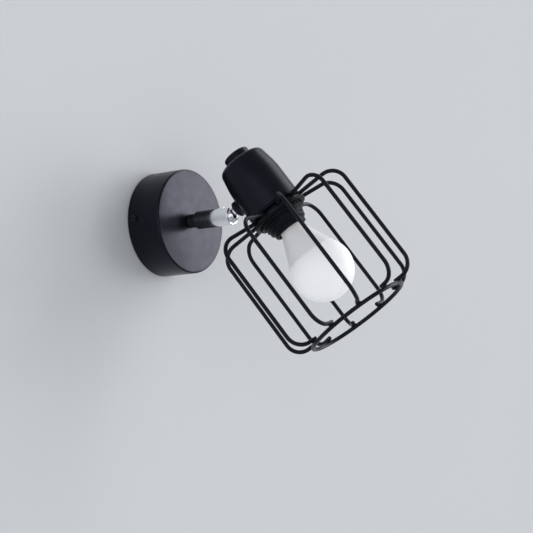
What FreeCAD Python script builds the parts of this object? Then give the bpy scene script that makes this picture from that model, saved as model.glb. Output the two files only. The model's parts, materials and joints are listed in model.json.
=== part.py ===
import FreeCAD, Part

# Cage wall light: a round canopy on the wall, a short chrome arm that ends in a ball joint,
# and a lampholder that carries a cage of bent wires round a small globe lamp.
#
# Row frame, in millimetres: the wall is the plane y = 0, the light stands out towards -Y,
# +Z is up and +X is to the right of someone who faces the wall. The origin is the middle
# of the canopy's back. Three frames place the pieces, each with its own local Z:
#   wall frame   origin at the row's origin, Z out of the wall (-Y), X to the right, Y up
#   ball frame   origin at the ball's centre, Z along the stud, X along the tilt axis
#   head frame   origin where the stud's axis meets the lampholder's axis, Z towards the
#                lamp's tip, X along the stud, away from the ball

import math
import os

import Sketcher
from FreeCAD import Placement, Rotation, Vector

SIZES = {
    # Clearances
    "snug": 0.02,                       # fixed fit inside one moving group
    "running_gap": 0.05,                # between two pieces that turn on each other
    "tool_over": 1.0,                   # how far a cut runs past the face that it opens
    # Canopy
    "canopy_diameter": 75.0,
    "canopy_depth": 27.6,
    "canopy_wall": 1.2,
    "canopy_edge_round": 1.5,
    "side_screw_height": 6.0,           # from the wall to the screw's axis
    "side_screw_diameter": 3.0,
    "side_screw_length": 6.5,
    "side_screw_head_diameter": 5.4,
    "side_screw_head_height": 1.5,
    # Wall bracket
    "bracket_thickness": 1.5,
    "bracket_width": 18.0,
    "bracket_ear_width": 10.0,
    "bracket_ear_height": 11.0,
    "bracket_side_gap": 0.2,            # between the bracket and the canopy's wall
    "wall_slot_spacing": 50.0,
    "wall_slot_length": 9.0,
    "wall_slot_width": 4.5,
    # Terminal block on the bracket
    "block_length": 24.0,
    "block_width": 14.0,
    "block_height": 11.0,
    "pole_pitch": 8.0,
    "barrel_side": 4.2,
    "barrel_length": 11.0,
    "barrel_bore": 2.6,
    "barrel_height": 4.6,               # from the block's foot to the barrel's axis
    "block_entry_diameter": 3.0,
    "terminal_screw_diameter": 2.5,
    "terminal_screw_spacing": 7.2,
    "terminal_screw_length": 4.4,
    "terminal_screw_sink": 0.8,
    "block_screw_diameter": 2.5,
    "block_screw_head_diameter": 3.8,
    "block_screw_head_height": 1.5,
    "earth_screw_offset": 16.0,
    "earth_screw_diameter": 3.8,
    "earth_screw_head_diameter": 6.2,
    "earth_screw_head_height": 2.2,
    "earth_tag_diameter": 6.8,
    "earth_tag_thickness": 0.8,
    "earth_tag_tongue_length": 8.4,
    "earth_tag_tongue_width": 3.0,
    "screw_slot_width": 0.7,
    "screw_slot_depth": 0.8,
    # Leads
    "supply_lead_diameter": 1.8,
    "supply_lead_offset": 1.25,         # from the arm's axis to each lead's axis
    "head_lead_diameter": 1.5,
    "head_lead_offset": 0.85,
    "head_lead_start": 1.0,             # from the ball's centre to the leads' ends
    "lead_bend": 3.0,
    # Threaded nipple that holds the arm in the canopy
    "nipple_diameter": 10.0,
    "nipple_bore": 6.0,
    "nipple_back": 18.0,                # from the wall to the nipple's rear end
    "nipple_thread_end": 33.35,
    "nipple_journal_diameter": 9.9,
    "nipple_journal_length": 6.7,
    "nipple_flange_diameter": 10.9,
    "nipple_flange_thickness": 1.55,
    "nipple_nut_across_flats": 14.0,
    "nipple_nut_thickness": 3.0,
    "nipple_washer_diameter": 15.0,
    "nipple_washer_thickness": 1.0,
    # Chrome socket of the ball joint
    "socket_diameter": 13.0,
    "socket_back_chamfer": 1.2,
    "socket_rim_chamfer": 0.4,
    "socket_lip": 1.5,                  # from the ball's centre to the socket's rim
    "socket_slot_width": 6.8,
    "socket_slot_back": 6.0,            # from the ball's centre to the slot's round end
    "ball_distance": 63.0,              # from the wall to the ball's centre
    "ball_diameter": 11.0,
    "ball_flare_diameter": 7.2,
    "ball_flare_depth": 3.6,
    "seat_bore": 6.0,
    "seat_lip_setback": 3.6,            # from the ball's centre to the seat's front
    "disc_spring_bore": 6.6,
    "disc_spring_thickness": 0.8,
    "disc_spring_rise": 0.6,
    # Hollow stud on the ball
    "stud_neck_diameter": 6.6,
    "stud_neck_end": 6.85,              # from the ball's centre to the stud's shoulder
    "stud_diameter": 6.2,
    "stud_bore": 4.0,
    "stud_length": 17.4,                # from the ball's centre to the stud's end
    "stud_washer_diameter": 9.6,
    "stud_washer_thickness": 0.7,
    "stud_nut_across_flats": 9.4,
    "stud_nut_thickness": 2.4,
    "stud_reach": 11.3,                 # from the ball's centre to the shell's side
    "rest_tilt": 32.8,                  # degrees that the stud points up from straight out
    "rest_twist": 14.3,                 # degrees that the head is turned about the stud
    # Lampholder shell; heights run along the head's axis from the stud's axis
    "shell_diameter": 39.3,
    "shell_neck_diameter": 35.0,
    "shell_wall": 1.5,
    "shell_top": 24.4,
    "shell_shoulder_round": 4.2,
    "shell_taper_end": 7.0,             # above the stud's axis
    "shell_skirt": 17.0,                # below the stud's axis
    "boss_diameter": 12.0,
    "boss_pad_end": 13.6,               # from the ball's centre to the pad inside the shell
    "knob_diameter": 19.0,
    "knob_height": 5.9,
    "knob_round": 1.4,
    "tie_diameter": 10.0,
    "tie_bore": 7.0,
    "tie_cover": 4.0,                   # how far the tie nipple reaches into the knob
    "tie_length": 11.0,
    # Bridge that hangs the lampholder's core from the tie nipple
    "bridge_thickness": 1.2,
    "bridge_leg_width": 10.0,
    "bridge_disc_diameter": 14.4,       # the round middle, about the tie nipple's hole
    "bridge_leg_gap": 0.2,              # from a foot screw's head to the leg beside it
    "bridge_foot_edge": 1.0,            # steel that is left beyond a foot's screw hole
    "bridge_nut_across_flats": 13.0,
    "bridge_nut_thickness": 2.5,
    "bridge_screw_spacing": 15.0,
    "bridge_screw_diameter": 2.9,
    "bridge_screw_head_diameter": 5.0,
    "bridge_screw_head_height": 1.6,
    "bridge_screw_length": 5.6,
    # Lampholder core, contacts and skirt
    "core_top": 4.2,
    "core_flange_diameter": 24.4,
    "core_flange_bottom": 7.0,
    "core_diameter": 20.6,
    "core_bottom": 32.0,
    "core_chamber_floor": 10.0,
    "core_chamber_diameter": 13.0,
    "core_seat": 16.0,
    "contact_screw_offset": 7.2,
    "contact_screw_diameter": 2.9,
    "contact_screw_head_diameter": 4.8,
    "contact_screw_head_height": 1.4,
    "contact_screw_length": 4.0,
    "sleeve_diameter": 15.6,
    "sleeve_wall": 0.5,
    "sleeve_bottom": 31.5,
    "sleeve_foot_bore": 12.0,
    "contact_strip_width": 4.0,
    "contact_strip_thickness": 0.5,
    "contact_strip_reach": 5.5,
    "contact_preload_gap": 0.1,
    "skirt_shell_gap": 0.2,
    "skirt_flange_thickness": 2.8,      # inside the shell's edge
    "skirt_lip_inset": 0.25,            # from the shell's side in to the lip below its edge
    "skirt_lip_thickness": 1.3,
    "skirt_thread_diameter": 30.4,
    "skirt_thread_depth": 0.8,
    "skirt_thread_pitch": 2.0,
    "skirt_thread_bottom": 30.2,
    "skirt_neck_diameter": 27.8,
    "skirt_upper_diameter": 26.4,
    "skirt_shoulder_diameter": 34.0,
    "skirt_shoulder_thickness": 2.0,
    "skirt_neck_length": 3.0,
    "skirt_nose_diameter": 24.2,
    "skirt_nose_chamfer": 0.6,
    "skirt_bottom": 36.6,
    # Cage
    "cage_wire_diameter": 2.9,
    "cage_wires": 10,
    "cage_wire_phase": 57.6,            # degrees from the stud's direction to the first wire
    "cage_radius": 51.4,                # to the middle of the upright wires
    "cage_top_bend": 11.5,
    "cage_bottom_bend": 11.0,
    "cage_inner_radius": 18.8,          # where the wires end on the collar
    "cage_foot_radius": 34.6,           # where the wires end inside the bottom ring
    "cage_ring_radius": 37.3,
    "cage_ring_height": 112.3,          # from the stud's axis to the bottom ring's plane
    "collar_diameter": 41.0,
    "collar_thickness": 1.5,
    "collar_top": 21.6,
    "collar_thread_gap": 0.2,
    # Knurled shade ring
    "shade_ring_gap": 0.1,              # running clearance on the skirt's thread
    "shade_ring_flange_diameter": 40.8,
    "shade_ring_flange_thickness": 1.2,
    "shade_ring_grip_diameter": 35.6,
    "shade_ring_height": 3.5,
    "shade_ring_groove_width": 1.4,
    "shade_ring_groove_depth": 0.8,
    "shade_ring_grooves": 36,
    # Globe lamp
    "globe_diameter": 44.5,
    "globe_height": 72.2,               # from the stud's axis to the globe's centre
    "globe_wall": 1.2,
    "lamp_seam": 12.6,                  # from the globe's centre back to the dome's edge
    "lamp_body_wall": 1.5,
    "lamp_body_top": 34.5,
    "lamp_body_neck_diameter": 17.0,
    "lamp_body_neck_end": 36.8,
    "lamp_cap_diameter": 13.8,
    "lamp_cap_wall": 0.4,
    "lamp_cap_top": 17.5,
    "lamp_plug_length": 4.5,            # how far the body reaches into the cap
    "lamp_plug_bore": 10.0,
    "lamp_insulator_top": 15.0,
    "lamp_insulator_diameter": 7.2,
    "lamp_insulator_inset": 1.2,
    "lamp_tip_top": 13.5,
    "lamp_tip_diameter": 4.8,
    "lamp_tip_shank": 3.2,
    "lamp_tip_length": 3.6,
    "light_board_thickness": 1.6,
    "light_board_ledge": 1.6,
    "light_chips": 10,
    "light_chip_side": 3.0,
    "light_chip_height": 0.8,
    "light_chip_inset": 6.85,           # from the board's edge to the middle of each chip
    "driver_board_width": 8.6,
    "driver_board_thickness": 1.2,
    "driver_board_top": 33.0,
    "driver_capacitor_diameter": 5.0,
    "driver_capacitor_length": 9.0,
}

TINY = 1e-9
DISC_SPRINGS = 3
# Where a thread's outline leaves its root, reaches its crest, leaves it and is back at the
# root, as shares of one pitch
RIDGE = (0.15, 0.4, 0.6, 0.85)


class Size:
    """A length that carries its number and the sheet expression that it comes from."""

    def __init__(self, value, text):
        self.value = value
        self.text = text

    def joined(self, other, value, sign):
        return Size(value, f"({self.text} {sign} {as_size(other).text})")

    def __add__(self, other):
        return self.joined(other, self.value + as_size(other).value, "+")

    def __sub__(self, other):
        return self.joined(other, self.value - as_size(other).value, "-")

    def __mul__(self, other):
        return self.joined(other, self.value * as_size(other).value, "*")

    def __truediv__(self, other):
        return self.joined(other, self.value / as_size(other).value, "/")

    def __radd__(self, other):
        return as_size(other) + self

    def __rsub__(self, other):
        return as_size(other) - self

    def __rmul__(self, other):
        return as_size(other) * self

    def __neg__(self):
        return Size(-self.value, f"(-1 * {self.text})")


class Arc:
    """Marks a round stretch of an outline: its radius and which way it turns."""

    def __init__(self, radius, anticlockwise=True):
        self.radius = as_size(radius)
        self.anticlockwise = anticlockwise


def as_size(number):
    """Returns a Size as it is and a plain number as a Size."""
    if isinstance(number, Size):
        return number
    return Size(float(number), repr(float(number)))


def leg(slant, other):
    """Returns the second leg of a right triangle from its slant and its first leg."""
    slant = as_size(slant)
    other = as_size(other)
    value = math.sqrt(slant.value ** 2 - other.value ** 2)
    return Size(value, f"sqrt({slant.text}^2 - {other.text}^2)")


class Sheet:
    """The document's spreadsheet of driving sizes, read as sheet.name."""

    def __init__(self, document):
        self.table = document.addObject("Spreadsheet::Sheet", "Sizes")
        for row, (name, number) in enumerate(SIZES.items(), start=1):
            self.table.set(f"A{row}", name.replace("_", " "))
            self.table.set(f"B{row}", str(number))
            self.table.setAlias(f"B{row}", name)

    def __getattr__(self, name):
        return Size(float(SIZES[name]), f"Sizes.{name}")


doc = FreeCAD.newDocument("CageWallLight")
s = Sheet(doc)
doc.recompute()
sub_parts = []


# ---------------------------------------------------------------- frames

def wall_frame():
    """Z out of the wall, X to the right, Y up."""
    return Placement(Vector(0, 0, 0), Rotation(Vector(1, 0, 0), Vector(0, 0, 1), Vector(0, -1, 0)))


def ball_frame():
    """Origin at the ball's centre, Z along the stud, X along the tilt axis."""
    tilt = math.radians(s.rest_tilt.value)
    stud = Vector(0, -math.cos(tilt), math.sin(tilt))
    side = Vector(1, 0, 0)
    centre = Vector(0, -s.ball_distance.value, 0)
    return Placement(centre, Rotation(side, stud.cross(side), stud))


def axis_distance():
    """From the ball's centre to the lampholder's axis."""
    return s.stud_reach + s.shell_diameter / 2


def head_frame(turn=0.0, lift=0.0):
    """Z along the lampholder's axis, X along the stud, turned and moved on about that axis."""
    frame = ball_frame()
    stud = frame.Rotation.multVec(Vector(0, 0, 1))
    side = frame.Rotation.multVec(Vector(1, 0, 0))
    down = side.cross(stud)
    axis = Rotation(stud, s.rest_twist.value).multVec(down)
    origin = frame.Base + stud * axis_distance().value
    upright = Placement(origin, Rotation(stud, axis.cross(stud), axis))
    return upright * Placement(Vector(0, 0, lift), Rotation(Vector(0, 0, 1), turn))


# ---------------------------------------------------------------- building blocks

def bind(item, name, size):
    """Sets one property of an object from a size and ties it to the sheet."""
    size = as_size(size)
    setattr(item, name, size.value)
    item.setExpression(name, size.text)


def new_body(name):
    return doc.addObject("PartDesign::Body", name)


def base_plane(body, role):
    """Returns one of a body's own origin planes, such as XZ_Plane."""
    for feature in body.Origin.OriginFeatures:
        if feature.Role == role:
            return feature
    raise ValueError(f"{body.Name} has no {role}")


def new_sketch(body, name, role, offset=None):
    """Adds a sketch on one of the body's origin planes, moved along its normal by offset."""
    sketch = body.newObject("Sketcher::SketchObject", name)
    sketch.AttachmentSupport = [(base_plane(body, role), "")]
    sketch.MapMode = "FlatFace"
    if offset is not None:
        sketch.AttachmentOffset = Placement(Vector(0, 0, offset.value), Rotation())
        sketch.setExpression("AttachmentOffset.Base.z", offset.text)
    return sketch


def pin_point(sketch, edge, end, across, along):
    """Fixes one end of an edge at (across, along), from the sketch's origin."""
    for kind, size, axis in (("DistanceX", across, -2), ("DistanceY", along, -1)):
        if abs(size.value) < TINY:
            sketch.addConstraint(Sketcher.Constraint("PointOnObject", edge, end, axis))
            continue
        rule = Sketcher.Constraint(kind, -1, 1, edge, end, size.value)
        index = sketch.addConstraint(rule)
        sketch.setExpression(f"Constraints[{index}]", size.text)


def arc_between(start, finish, arc):
    """Returns the short arc of the given radius from start to finish."""
    middle = (start + finish) * 0.5
    chord = finish - start
    half = chord.Length / 2
    rise = math.sqrt(max(arc.radius.value ** 2 - half ** 2, 0.0))
    left = Vector(-chord.y, chord.x, 0).normalize()
    if not arc.anticlockwise:
        left = -left
    centre = middle + left * rise
    circle = Part.Circle(centre, Vector(0, 0, 1), arc.radius.value)
    first = start - centre
    last = finish - centre
    if not arc.anticlockwise:
        first, last = last, first
    angle = math.atan2(first.y, first.x)
    sweep = (math.atan2(last.y, last.x) - angle) % (2 * math.pi)
    return Part.ArcOfCircle(circle, angle, angle + sweep)


def draw_chain(sketch, chain, closed=True):
    """Draws edges through the points of a chain; an Arc between two points bends that edge."""
    points = []
    arcs = {}
    for item in chain:
        if isinstance(item, Arc):
            arcs[len(points) - 1] = item
        else:
            points.append((as_size(item[0]), as_size(item[1])))
    count = len(points)
    ends = []
    for index in range(count if closed else count - 1):
        here = Vector(points[index][0].value, points[index][1].value, 0)
        there_point = points[(index + 1) % count]
        there = Vector(there_point[0].value, there_point[1].value, 0)
        if index in arcs:
            arc = arcs[index]
            edge = sketch.addGeometry(arc_between(here, there, arc))
            rule = sketch.addConstraint(Sketcher.Constraint("Radius", edge, arc.radius.value))
            sketch.setExpression(f"Constraints[{rule}]", arc.radius.text)
            ends.append((edge, 1, 2) if arc.anticlockwise else (edge, 2, 1))
        else:
            edge = sketch.addGeometry(Part.LineSegment(here, there))
            ends.append((edge, 1, 2))
    for index, (edge, first, last) in enumerate(ends):
        if closed or index + 1 < len(ends):
            after = ends[(index + 1) % len(ends)]
            rule = Sketcher.Constraint("Coincident", edge, last, after[0], after[1])
            sketch.addConstraint(rule)
        pin_point(sketch, edge, first, *points[index])
    if not closed:
        edge, first, last = ends[-1]
        pin_point(sketch, edge, last, *points[-1])


def turned(name, chain):
    """Makes a body of revolution about its Z axis from (radius, height) points."""
    body = new_body(name)
    sketch = new_sketch(body, name + "_profile", "XZ_Plane")
    draw_chain(sketch, chain)
    revolution = body.newObject("PartDesign::Revolution", name + "_turned")
    revolution.Profile = sketch
    revolution.ReferenceAxis = (sketch, ["V_Axis"])
    revolution.Angle = 360
    body.Tip = revolution
    return body


def tube(name, outer, bore, low, high):
    """Makes a plain turned tube from its two diameters and its two heights."""
    inside = bore / 2
    outside = outer / 2
    return turned(name, [(inside, low), (outside, low), (outside, high), (inside, high)])


def cylinder(name, diameter, length, start=(0, 0, 0), direction=(0, 0, 1)):
    """Makes a cylinder that starts at a point and runs along a direction."""
    item = doc.addObject("Part::Cylinder", name)
    bind(item, "Radius", as_size(diameter) / 2)
    bind(item, "Height", length)
    turn = Rotation(Vector(0, 0, 1), Vector(*direction))
    item.Placement = Placement(Vector(), turn)
    bind_base(item, start)
    return item


def bind_base(item, start):
    """Ties the three coordinates of an object's place to the sheet."""
    values = [as_size(part) for part in start]
    item.Placement.Base = Vector(*[part.value for part in values])
    for axis, part in zip("xyz", values):
        item.setExpression(f"Placement.Base.{axis}", part.text)


def block(name, middle, size):
    """Makes a box from the middle of its foot and its three sides."""
    length, width, height = [as_size(part) for part in size]
    item = doc.addObject("Part::Box", name)
    bind(item, "Length", length)
    bind(item, "Width", width)
    bind(item, "Height", height)
    bind_base(item, (middle[0] - length / 2, middle[1] - width / 2, as_size(middle[2])))
    return item


def hexagon(name, across_flats, height, low):
    """Makes a six-sided prism that stands on the height low."""
    item = doc.addObject("Part::Prism", name)
    item.Polygon = 6
    bind(item, "Circumradius", as_size(across_flats) / math.sqrt(3))
    bind(item, "Height", height)
    bind_base(item, (0, 0, low))
    return item


def joined(name, pieces):
    """Fuses several pieces into one."""
    item = doc.addObject("Part::MultiFuse", name)
    item.Shapes = pieces
    return item


def cut(name, base, tools):
    """Cuts one or more tools out of a base."""
    item = doc.addObject("Part::Cut", name)
    item.Base = base
    item.Tool = tools[0] if len(tools) == 1 else joined(name + "_tools", tools)
    return item


def shared(name, first, second):
    """Keeps what two pieces have in common."""
    item = doc.addObject("Part::Common", name)
    item.Base = first
    item.Tool = second
    return item


def group(name, pieces):
    """Keeps identical pieces together as separate solids of one sub-part."""
    item = doc.addObject("Part::Compound", name)
    item.Links = pieces
    return item


def placed(item, frame):
    """Moves a helper piece to its place inside a sub-part."""
    item.Placement = frame
    return item


def finished(label, item, frame):
    """Names a sub-part, puts it in the row's frame and lists it for export."""
    item.Label = label
    item.Placement = frame
    sub_parts.append(item)
    return item


def slotted_screw(name, shank, shank_length, head, head_height):
    """A screw along Z: its head stands above zero and its shank reaches below it."""
    chain = [
        (0, -shank_length),
        (shank / 2, -shank_length),
        (shank / 2, 0),
        (head / 2, 0),
        (head / 2, head_height),
        (0, head_height),
    ]
    body = turned(name + "_blank", chain)
    depth = s.screw_slot_depth
    slot = block(name + "_slot", (0, 0, head_height - depth), (head * 2, s.screw_slot_width, depth * 2))
    return cut(name, body, [slot])


def grub_screw(name, diameter, length):
    """A headless slotted screw along Z that reaches from zero down."""
    rod = cylinder(name + "_blank", diameter, length, (0, 0, -length))
    depth = s.screw_slot_depth
    slot = block(name + "_slot", (0, 0, -depth), (diameter * 2, s.screw_slot_width, depth * 2))
    return cut(name, rod, [slot])


def lead_shape(points, bend, diameter):
    """Sweeps a round lead along straight runs joined by tangent arcs."""
    corners = [Vector(*[as_size(part).value for part in point]) for point in points]
    edges = []
    start = corners[0]
    for before, corner, after in zip(corners, corners[1:], corners[2:]):
        towards = (before - corner).normalize()
        away = (after - corner).normalize()
        half = towards.getAngle(away) / 2
        room = min((before - corner).Length, (after - corner).Length) * 0.45
        radius = min(bend.value, room * math.tan(half))
        reach = radius / math.tan(half)
        first = corner + towards * reach
        last = corner + away * reach
        bisector = (towards + away).normalize()
        middle = corner + bisector * (radius / math.sin(half) - radius)
        edges.append(Part.LineSegment(start, first).toShape())
        edges.append(Part.Arc(first, middle, last).toShape())
        start = last
    edges.append(Part.LineSegment(start, corners[-1]).toShape())
    path = Part.Wire(edges)
    heading = corners[1] - corners[0]
    ring = Part.Wire([Part.Circle(corners[0], heading, diameter.value / 2).toShape()])
    return path.makePipeShell([ring], True, False)


def leads(label, routes, bend, diameter, frame):
    """Makes one sub-part of several leads, each along its own route."""
    item = doc.addObject("Part::Feature", label)
    shapes = [lead_shape(route, bend, diameter) for route in routes]
    item.Shape = shapes[0] if len(shapes) == 1 else Part.makeCompound(shapes)
    return finished(label, item, frame)


# ---------------------------------------------------------------- canopy and bracket

def make_canopy_cup():
    """The spun steel cup that covers the wiring, open towards the wall."""
    radius = s.canopy_diameter / 2
    inner = radius - s.canopy_wall
    hole = s.nipple_diameter / 2 + s.snug
    edge = s.canopy_edge_round
    inner_round = edge - s.canopy_wall / 2
    floor = s.canopy_depth - s.canopy_wall
    cup = turned("canopy_cup_body", [
        (hole, s.canopy_depth),
        (radius - edge, s.canopy_depth),
        Arc(edge, anticlockwise=False),
        (radius, s.canopy_depth - edge),
        (radius, 0),
        (inner, 0),
        (inner, floor - inner_round),
        Arc(inner_round),
        (inner - inner_round, floor),
        (hole, floor),
    ])
    reach = s.canopy_diameter + 2 * s.tool_over
    hole_size = s.side_screw_diameter + 2 * s.snug
    drill = cylinder("canopy_cup_drill", hole_size, reach,
                     (-reach / 2, 0, s.side_screw_height), (1, 0, 0))
    finished("canopy_cup", cut("canopy_cup_drilled", cup, [drill]), wall_frame())


def ear_reach():
    """How far the bracket's ears stand from the middle, just inside the canopy's wall."""
    inner = s.canopy_diameter / 2 - s.canopy_wall
    return leg(inner, s.bracket_ear_width / 2) - s.bracket_side_gap


def make_wall_bracket():
    """The flat steel strap that is screwed to the wall, with an ear bent up at each end."""
    thick = s.bracket_thickness
    reach = ear_reach()
    disc_size = s.canopy_diameter - 2 * s.canopy_wall - 2 * s.bracket_side_gap
    strap = shared("bracket_strap",
                   block("bracket_bar", (0, 0, 0), (reach * 2, s.bracket_width, thick)),
                   cylinder("bracket_outline", disc_size, thick))
    ears = []
    for number, side in enumerate((-1, 1)):
        middle = side * (reach - thick / 2)
        size = (thick, s.bracket_ear_width, s.bracket_ear_height)
        ears.append(block(f"bracket_ear_{number}", (middle, 0, 0), size))
    tools = []
    straight = s.wall_slot_length - s.wall_slot_width
    for number, side in enumerate((-1, 1)):
        middle = side * s.wall_slot_spacing / 2
        size = (straight, s.wall_slot_width, thick * 3)
        tools.append(block(f"bracket_slot_{number}", (middle, 0, -thick), size))
        for end in (-1, 1):
            centre = (middle + end * straight / 2, 0, -thick)
            name = f"bracket_slot_{number}_end_{end + 1}"
            tools.append(cylinder(name, s.wall_slot_width, thick * 3, centre))
    tools.append(cylinder("bracket_side_drill", s.side_screw_diameter + 2 * s.snug, reach * 3,
                          (reach * -1.5, 0, s.side_screw_height), (1, 0, 0)))
    tools.append(cylinder("bracket_earth_drill", s.earth_screw_diameter + 2 * s.snug, thick * 3,
                          (-s.earth_screw_offset, 0, -thick)))
    for number, side in enumerate((-1, 1)):
        centre = (side * s.pole_pitch / 2, 0, thick * 0.5)
        tools.append(cylinder(f"bracket_block_drill_{number}",
                              s.block_screw_diameter + 2 * s.snug, thick * 2, centre))
    whole = joined("bracket_joined", [strap] + ears)
    finished("wall_bracket", cut("bracket_cut", whole, tools), wall_frame())


def make_side_screws():
    """The two screws that fix the canopy to the bracket's ears."""
    radius = s.canopy_diameter / 2
    screws = []
    for number, side in enumerate((-1, 1)):
        screw = slotted_screw(f"side_screw_{number}", s.side_screw_diameter,
                              s.side_screw_length, s.side_screw_head_diameter,
                              s.side_screw_head_height)
        middle = Vector(side * radius.value, 0, s.side_screw_height.value)
        place = Placement(middle, Rotation(Vector(0, 0, 1), Vector(side, 0, 0)))
        screws.append(placed(screw, place))
    whole = group("side_screw_pair", screws)
    finished("canopy_side_screws", whole, wall_frame())


def block_foot():
    return s.bracket_thickness


def barrel_axis():
    return block_foot() + s.barrel_height


def make_terminal_block():
    """The three-pole terminal block that stands on the bracket."""
    foot = block_foot()
    size = (s.block_length, s.block_width, s.block_height)
    solid = block("terminal_block_solid", (0, 0, foot), size)
    tools = []
    for pole in (-1, 0, 1):
        across = pole * s.pole_pitch
        room = s.barrel_side + 2 * s.snug
        hollow = (room, s.barrel_length + 2 * s.snug, room)
        low = barrel_axis() - room / 2
        tools.append(block(f"block_room_{pole + 1}", (across, 0, low), hollow))
        start = (across, -s.block_width, barrel_axis())
        tools.append(cylinder(f"block_entry_{pole + 1}", s.block_entry_diameter,
                              s.block_width * 2, start, (0, 1, 0)))
        for side in (-1, 1):
            start = (across, side * s.terminal_screw_spacing / 2, barrel_axis())
            name = f"block_screw_way_{pole + 1}_{side + 1}"
            tools.append(cylinder(name, s.terminal_screw_diameter + 2 * s.snug,
                                  s.block_height, start))
    for number, side in enumerate((-1, 1)):
        start = (side * s.pole_pitch / 2, 0, 0)
        tools.append(cylinder(f"block_fixing_way_{number}",
                              s.block_screw_diameter + 2 * s.snug, s.block_height * 2, start))
    finished("terminal_block", cut("terminal_block_cut", solid, tools), wall_frame())


def make_terminal_barrels():
    """The three brass barrels that join the leads inside the block."""
    barrels = []
    for pole in (-1, 0, 1):
        across = pole * s.pole_pitch
        size = (s.barrel_side, s.barrel_length, s.barrel_side)
        low = barrel_axis() - s.barrel_side / 2
        solid = block(f"barrel_{pole + 1}", (across, 0, low), size)
        start = (across, -s.barrel_length, barrel_axis())
        tools = [cylinder(f"barrel_bore_{pole + 1}", s.barrel_bore, s.barrel_length * 2,
                          start, (0, 1, 0))]
        for side in (-1, 1):
            start = (across, side * s.terminal_screw_spacing / 2, barrel_axis())
            name = f"barrel_thread_{pole + 1}_{side + 1}"
            tools.append(cylinder(name, s.terminal_screw_diameter + 2 * s.snug,
                                  s.barrel_side, start))
        barrels.append(cut(f"barrel_cut_{pole + 1}", solid, tools))
    finished("terminal_barrels", group("terminal_barrel_set", barrels), wall_frame())


def make_terminal_screws():
    """The six grub screws that pinch the leads in the barrels."""
    top = block_foot() + s.block_height - s.terminal_screw_sink
    screws = []
    for pole in (-1, 0, 1):
        for side in (-1, 1):
            name = f"terminal_screw_{pole + 1}_{side + 1}"
            screw = grub_screw(name, s.terminal_screw_diameter, s.terminal_screw_length)
            across = pole * s.pole_pitch.value
            along = side * s.terminal_screw_spacing.value / 2
            screws.append(placed(screw, Placement(Vector(across, along, top.value), Rotation())))
    finished("terminal_screws", group("terminal_screw_set", screws), wall_frame())


def make_block_screws():
    """The two screws that fix the terminal block to the bracket."""
    top = block_foot() + s.block_height
    length = s.block_height + s.bracket_thickness * 0.5
    screws = []
    for number, side in enumerate((-1, 1)):
        screw = slotted_screw(f"block_screw_{number}", s.block_screw_diameter, length,
                              s.block_screw_head_diameter, s.block_screw_head_height)
        middle = Vector(side * s.pole_pitch.value / 2, 0, top.value)
        screws.append(placed(screw, Placement(middle, Rotation())))
    finished("terminal_block_screws", group("block_screw_pair", screws), wall_frame())


def make_earth_terminal():
    """The ring tag of the earth lead and the screw that clamps it to the bracket."""
    top = s.bracket_thickness
    across = -s.earth_screw_offset
    thick = s.earth_tag_thickness
    ring = cylinder("earth_ring", s.earth_tag_diameter, thick, (across, 0, top))
    middle = (across, -s.earth_tag_tongue_length / 2, top)
    tongue = block("earth_tongue", middle,
                   (s.earth_tag_tongue_width, s.earth_tag_tongue_length, thick))
    hole = cylinder("earth_hole", s.earth_screw_diameter + 2 * s.snug, thick * 3,
                    (across, 0, top - thick))
    whole = joined("earth_tag_joined", [ring, tongue])
    finished("earth_tag", cut("earth_tag_cut", whole, [hole]), wall_frame())
    screw = slotted_screw("earth_screw_piece", s.earth_screw_diameter, top + thick,
                          s.earth_screw_head_diameter, s.earth_screw_head_height)
    place = wall_frame() * Placement(Vector(across.value, 0, (top + thick).value), Rotation())
    finished("earth_screw", screw, place)


def make_canopy_leads():
    """The leads inside the canopy: two from the block up through the nipple, one to earth."""
    low = barrel_axis()
    turn = s.block_width / 2 + 2 * s.lead_bend
    high = s.nipple_back - s.lead_bend / 2
    end = s.nipple_thread_end + s.nipple_journal_length
    reach = s.barrel_length / 4
    routes = []
    for side in (-1, 1):
        pole = side * s.pole_pitch
        near = side * s.supply_lead_offset
        routes.append([
            (pole, reach, low),
            (pole, turn, low),
            (near + side * s.lead_bend, turn, high),
            (near, 0, high),
            (near, 0, end),
        ])
    leads("canopy_leads", routes, s.lead_bend, s.supply_lead_diameter, wall_frame())
    lead_top = s.bracket_thickness + s.earth_tag_thickness + s.supply_lead_diameter / 2
    rest = -s.earth_tag_tongue_length + s.lead_bend / 2
    outside = -s.block_width / 2 - 2 * s.lead_bend
    leads("earth_lead", [[
        (0, -reach, low),
        (0, outside, low),
        (-s.earth_screw_offset, outside, lead_top),
        (-s.earth_screw_offset, rest, lead_top),
    ]], s.lead_bend, s.supply_lead_diameter, wall_frame())


# ---------------------------------------------------------------- arm

def nipple_front():
    """Where the nipple's journal ends and its flange begins."""
    return s.nipple_thread_end + s.nipple_journal_length


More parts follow.
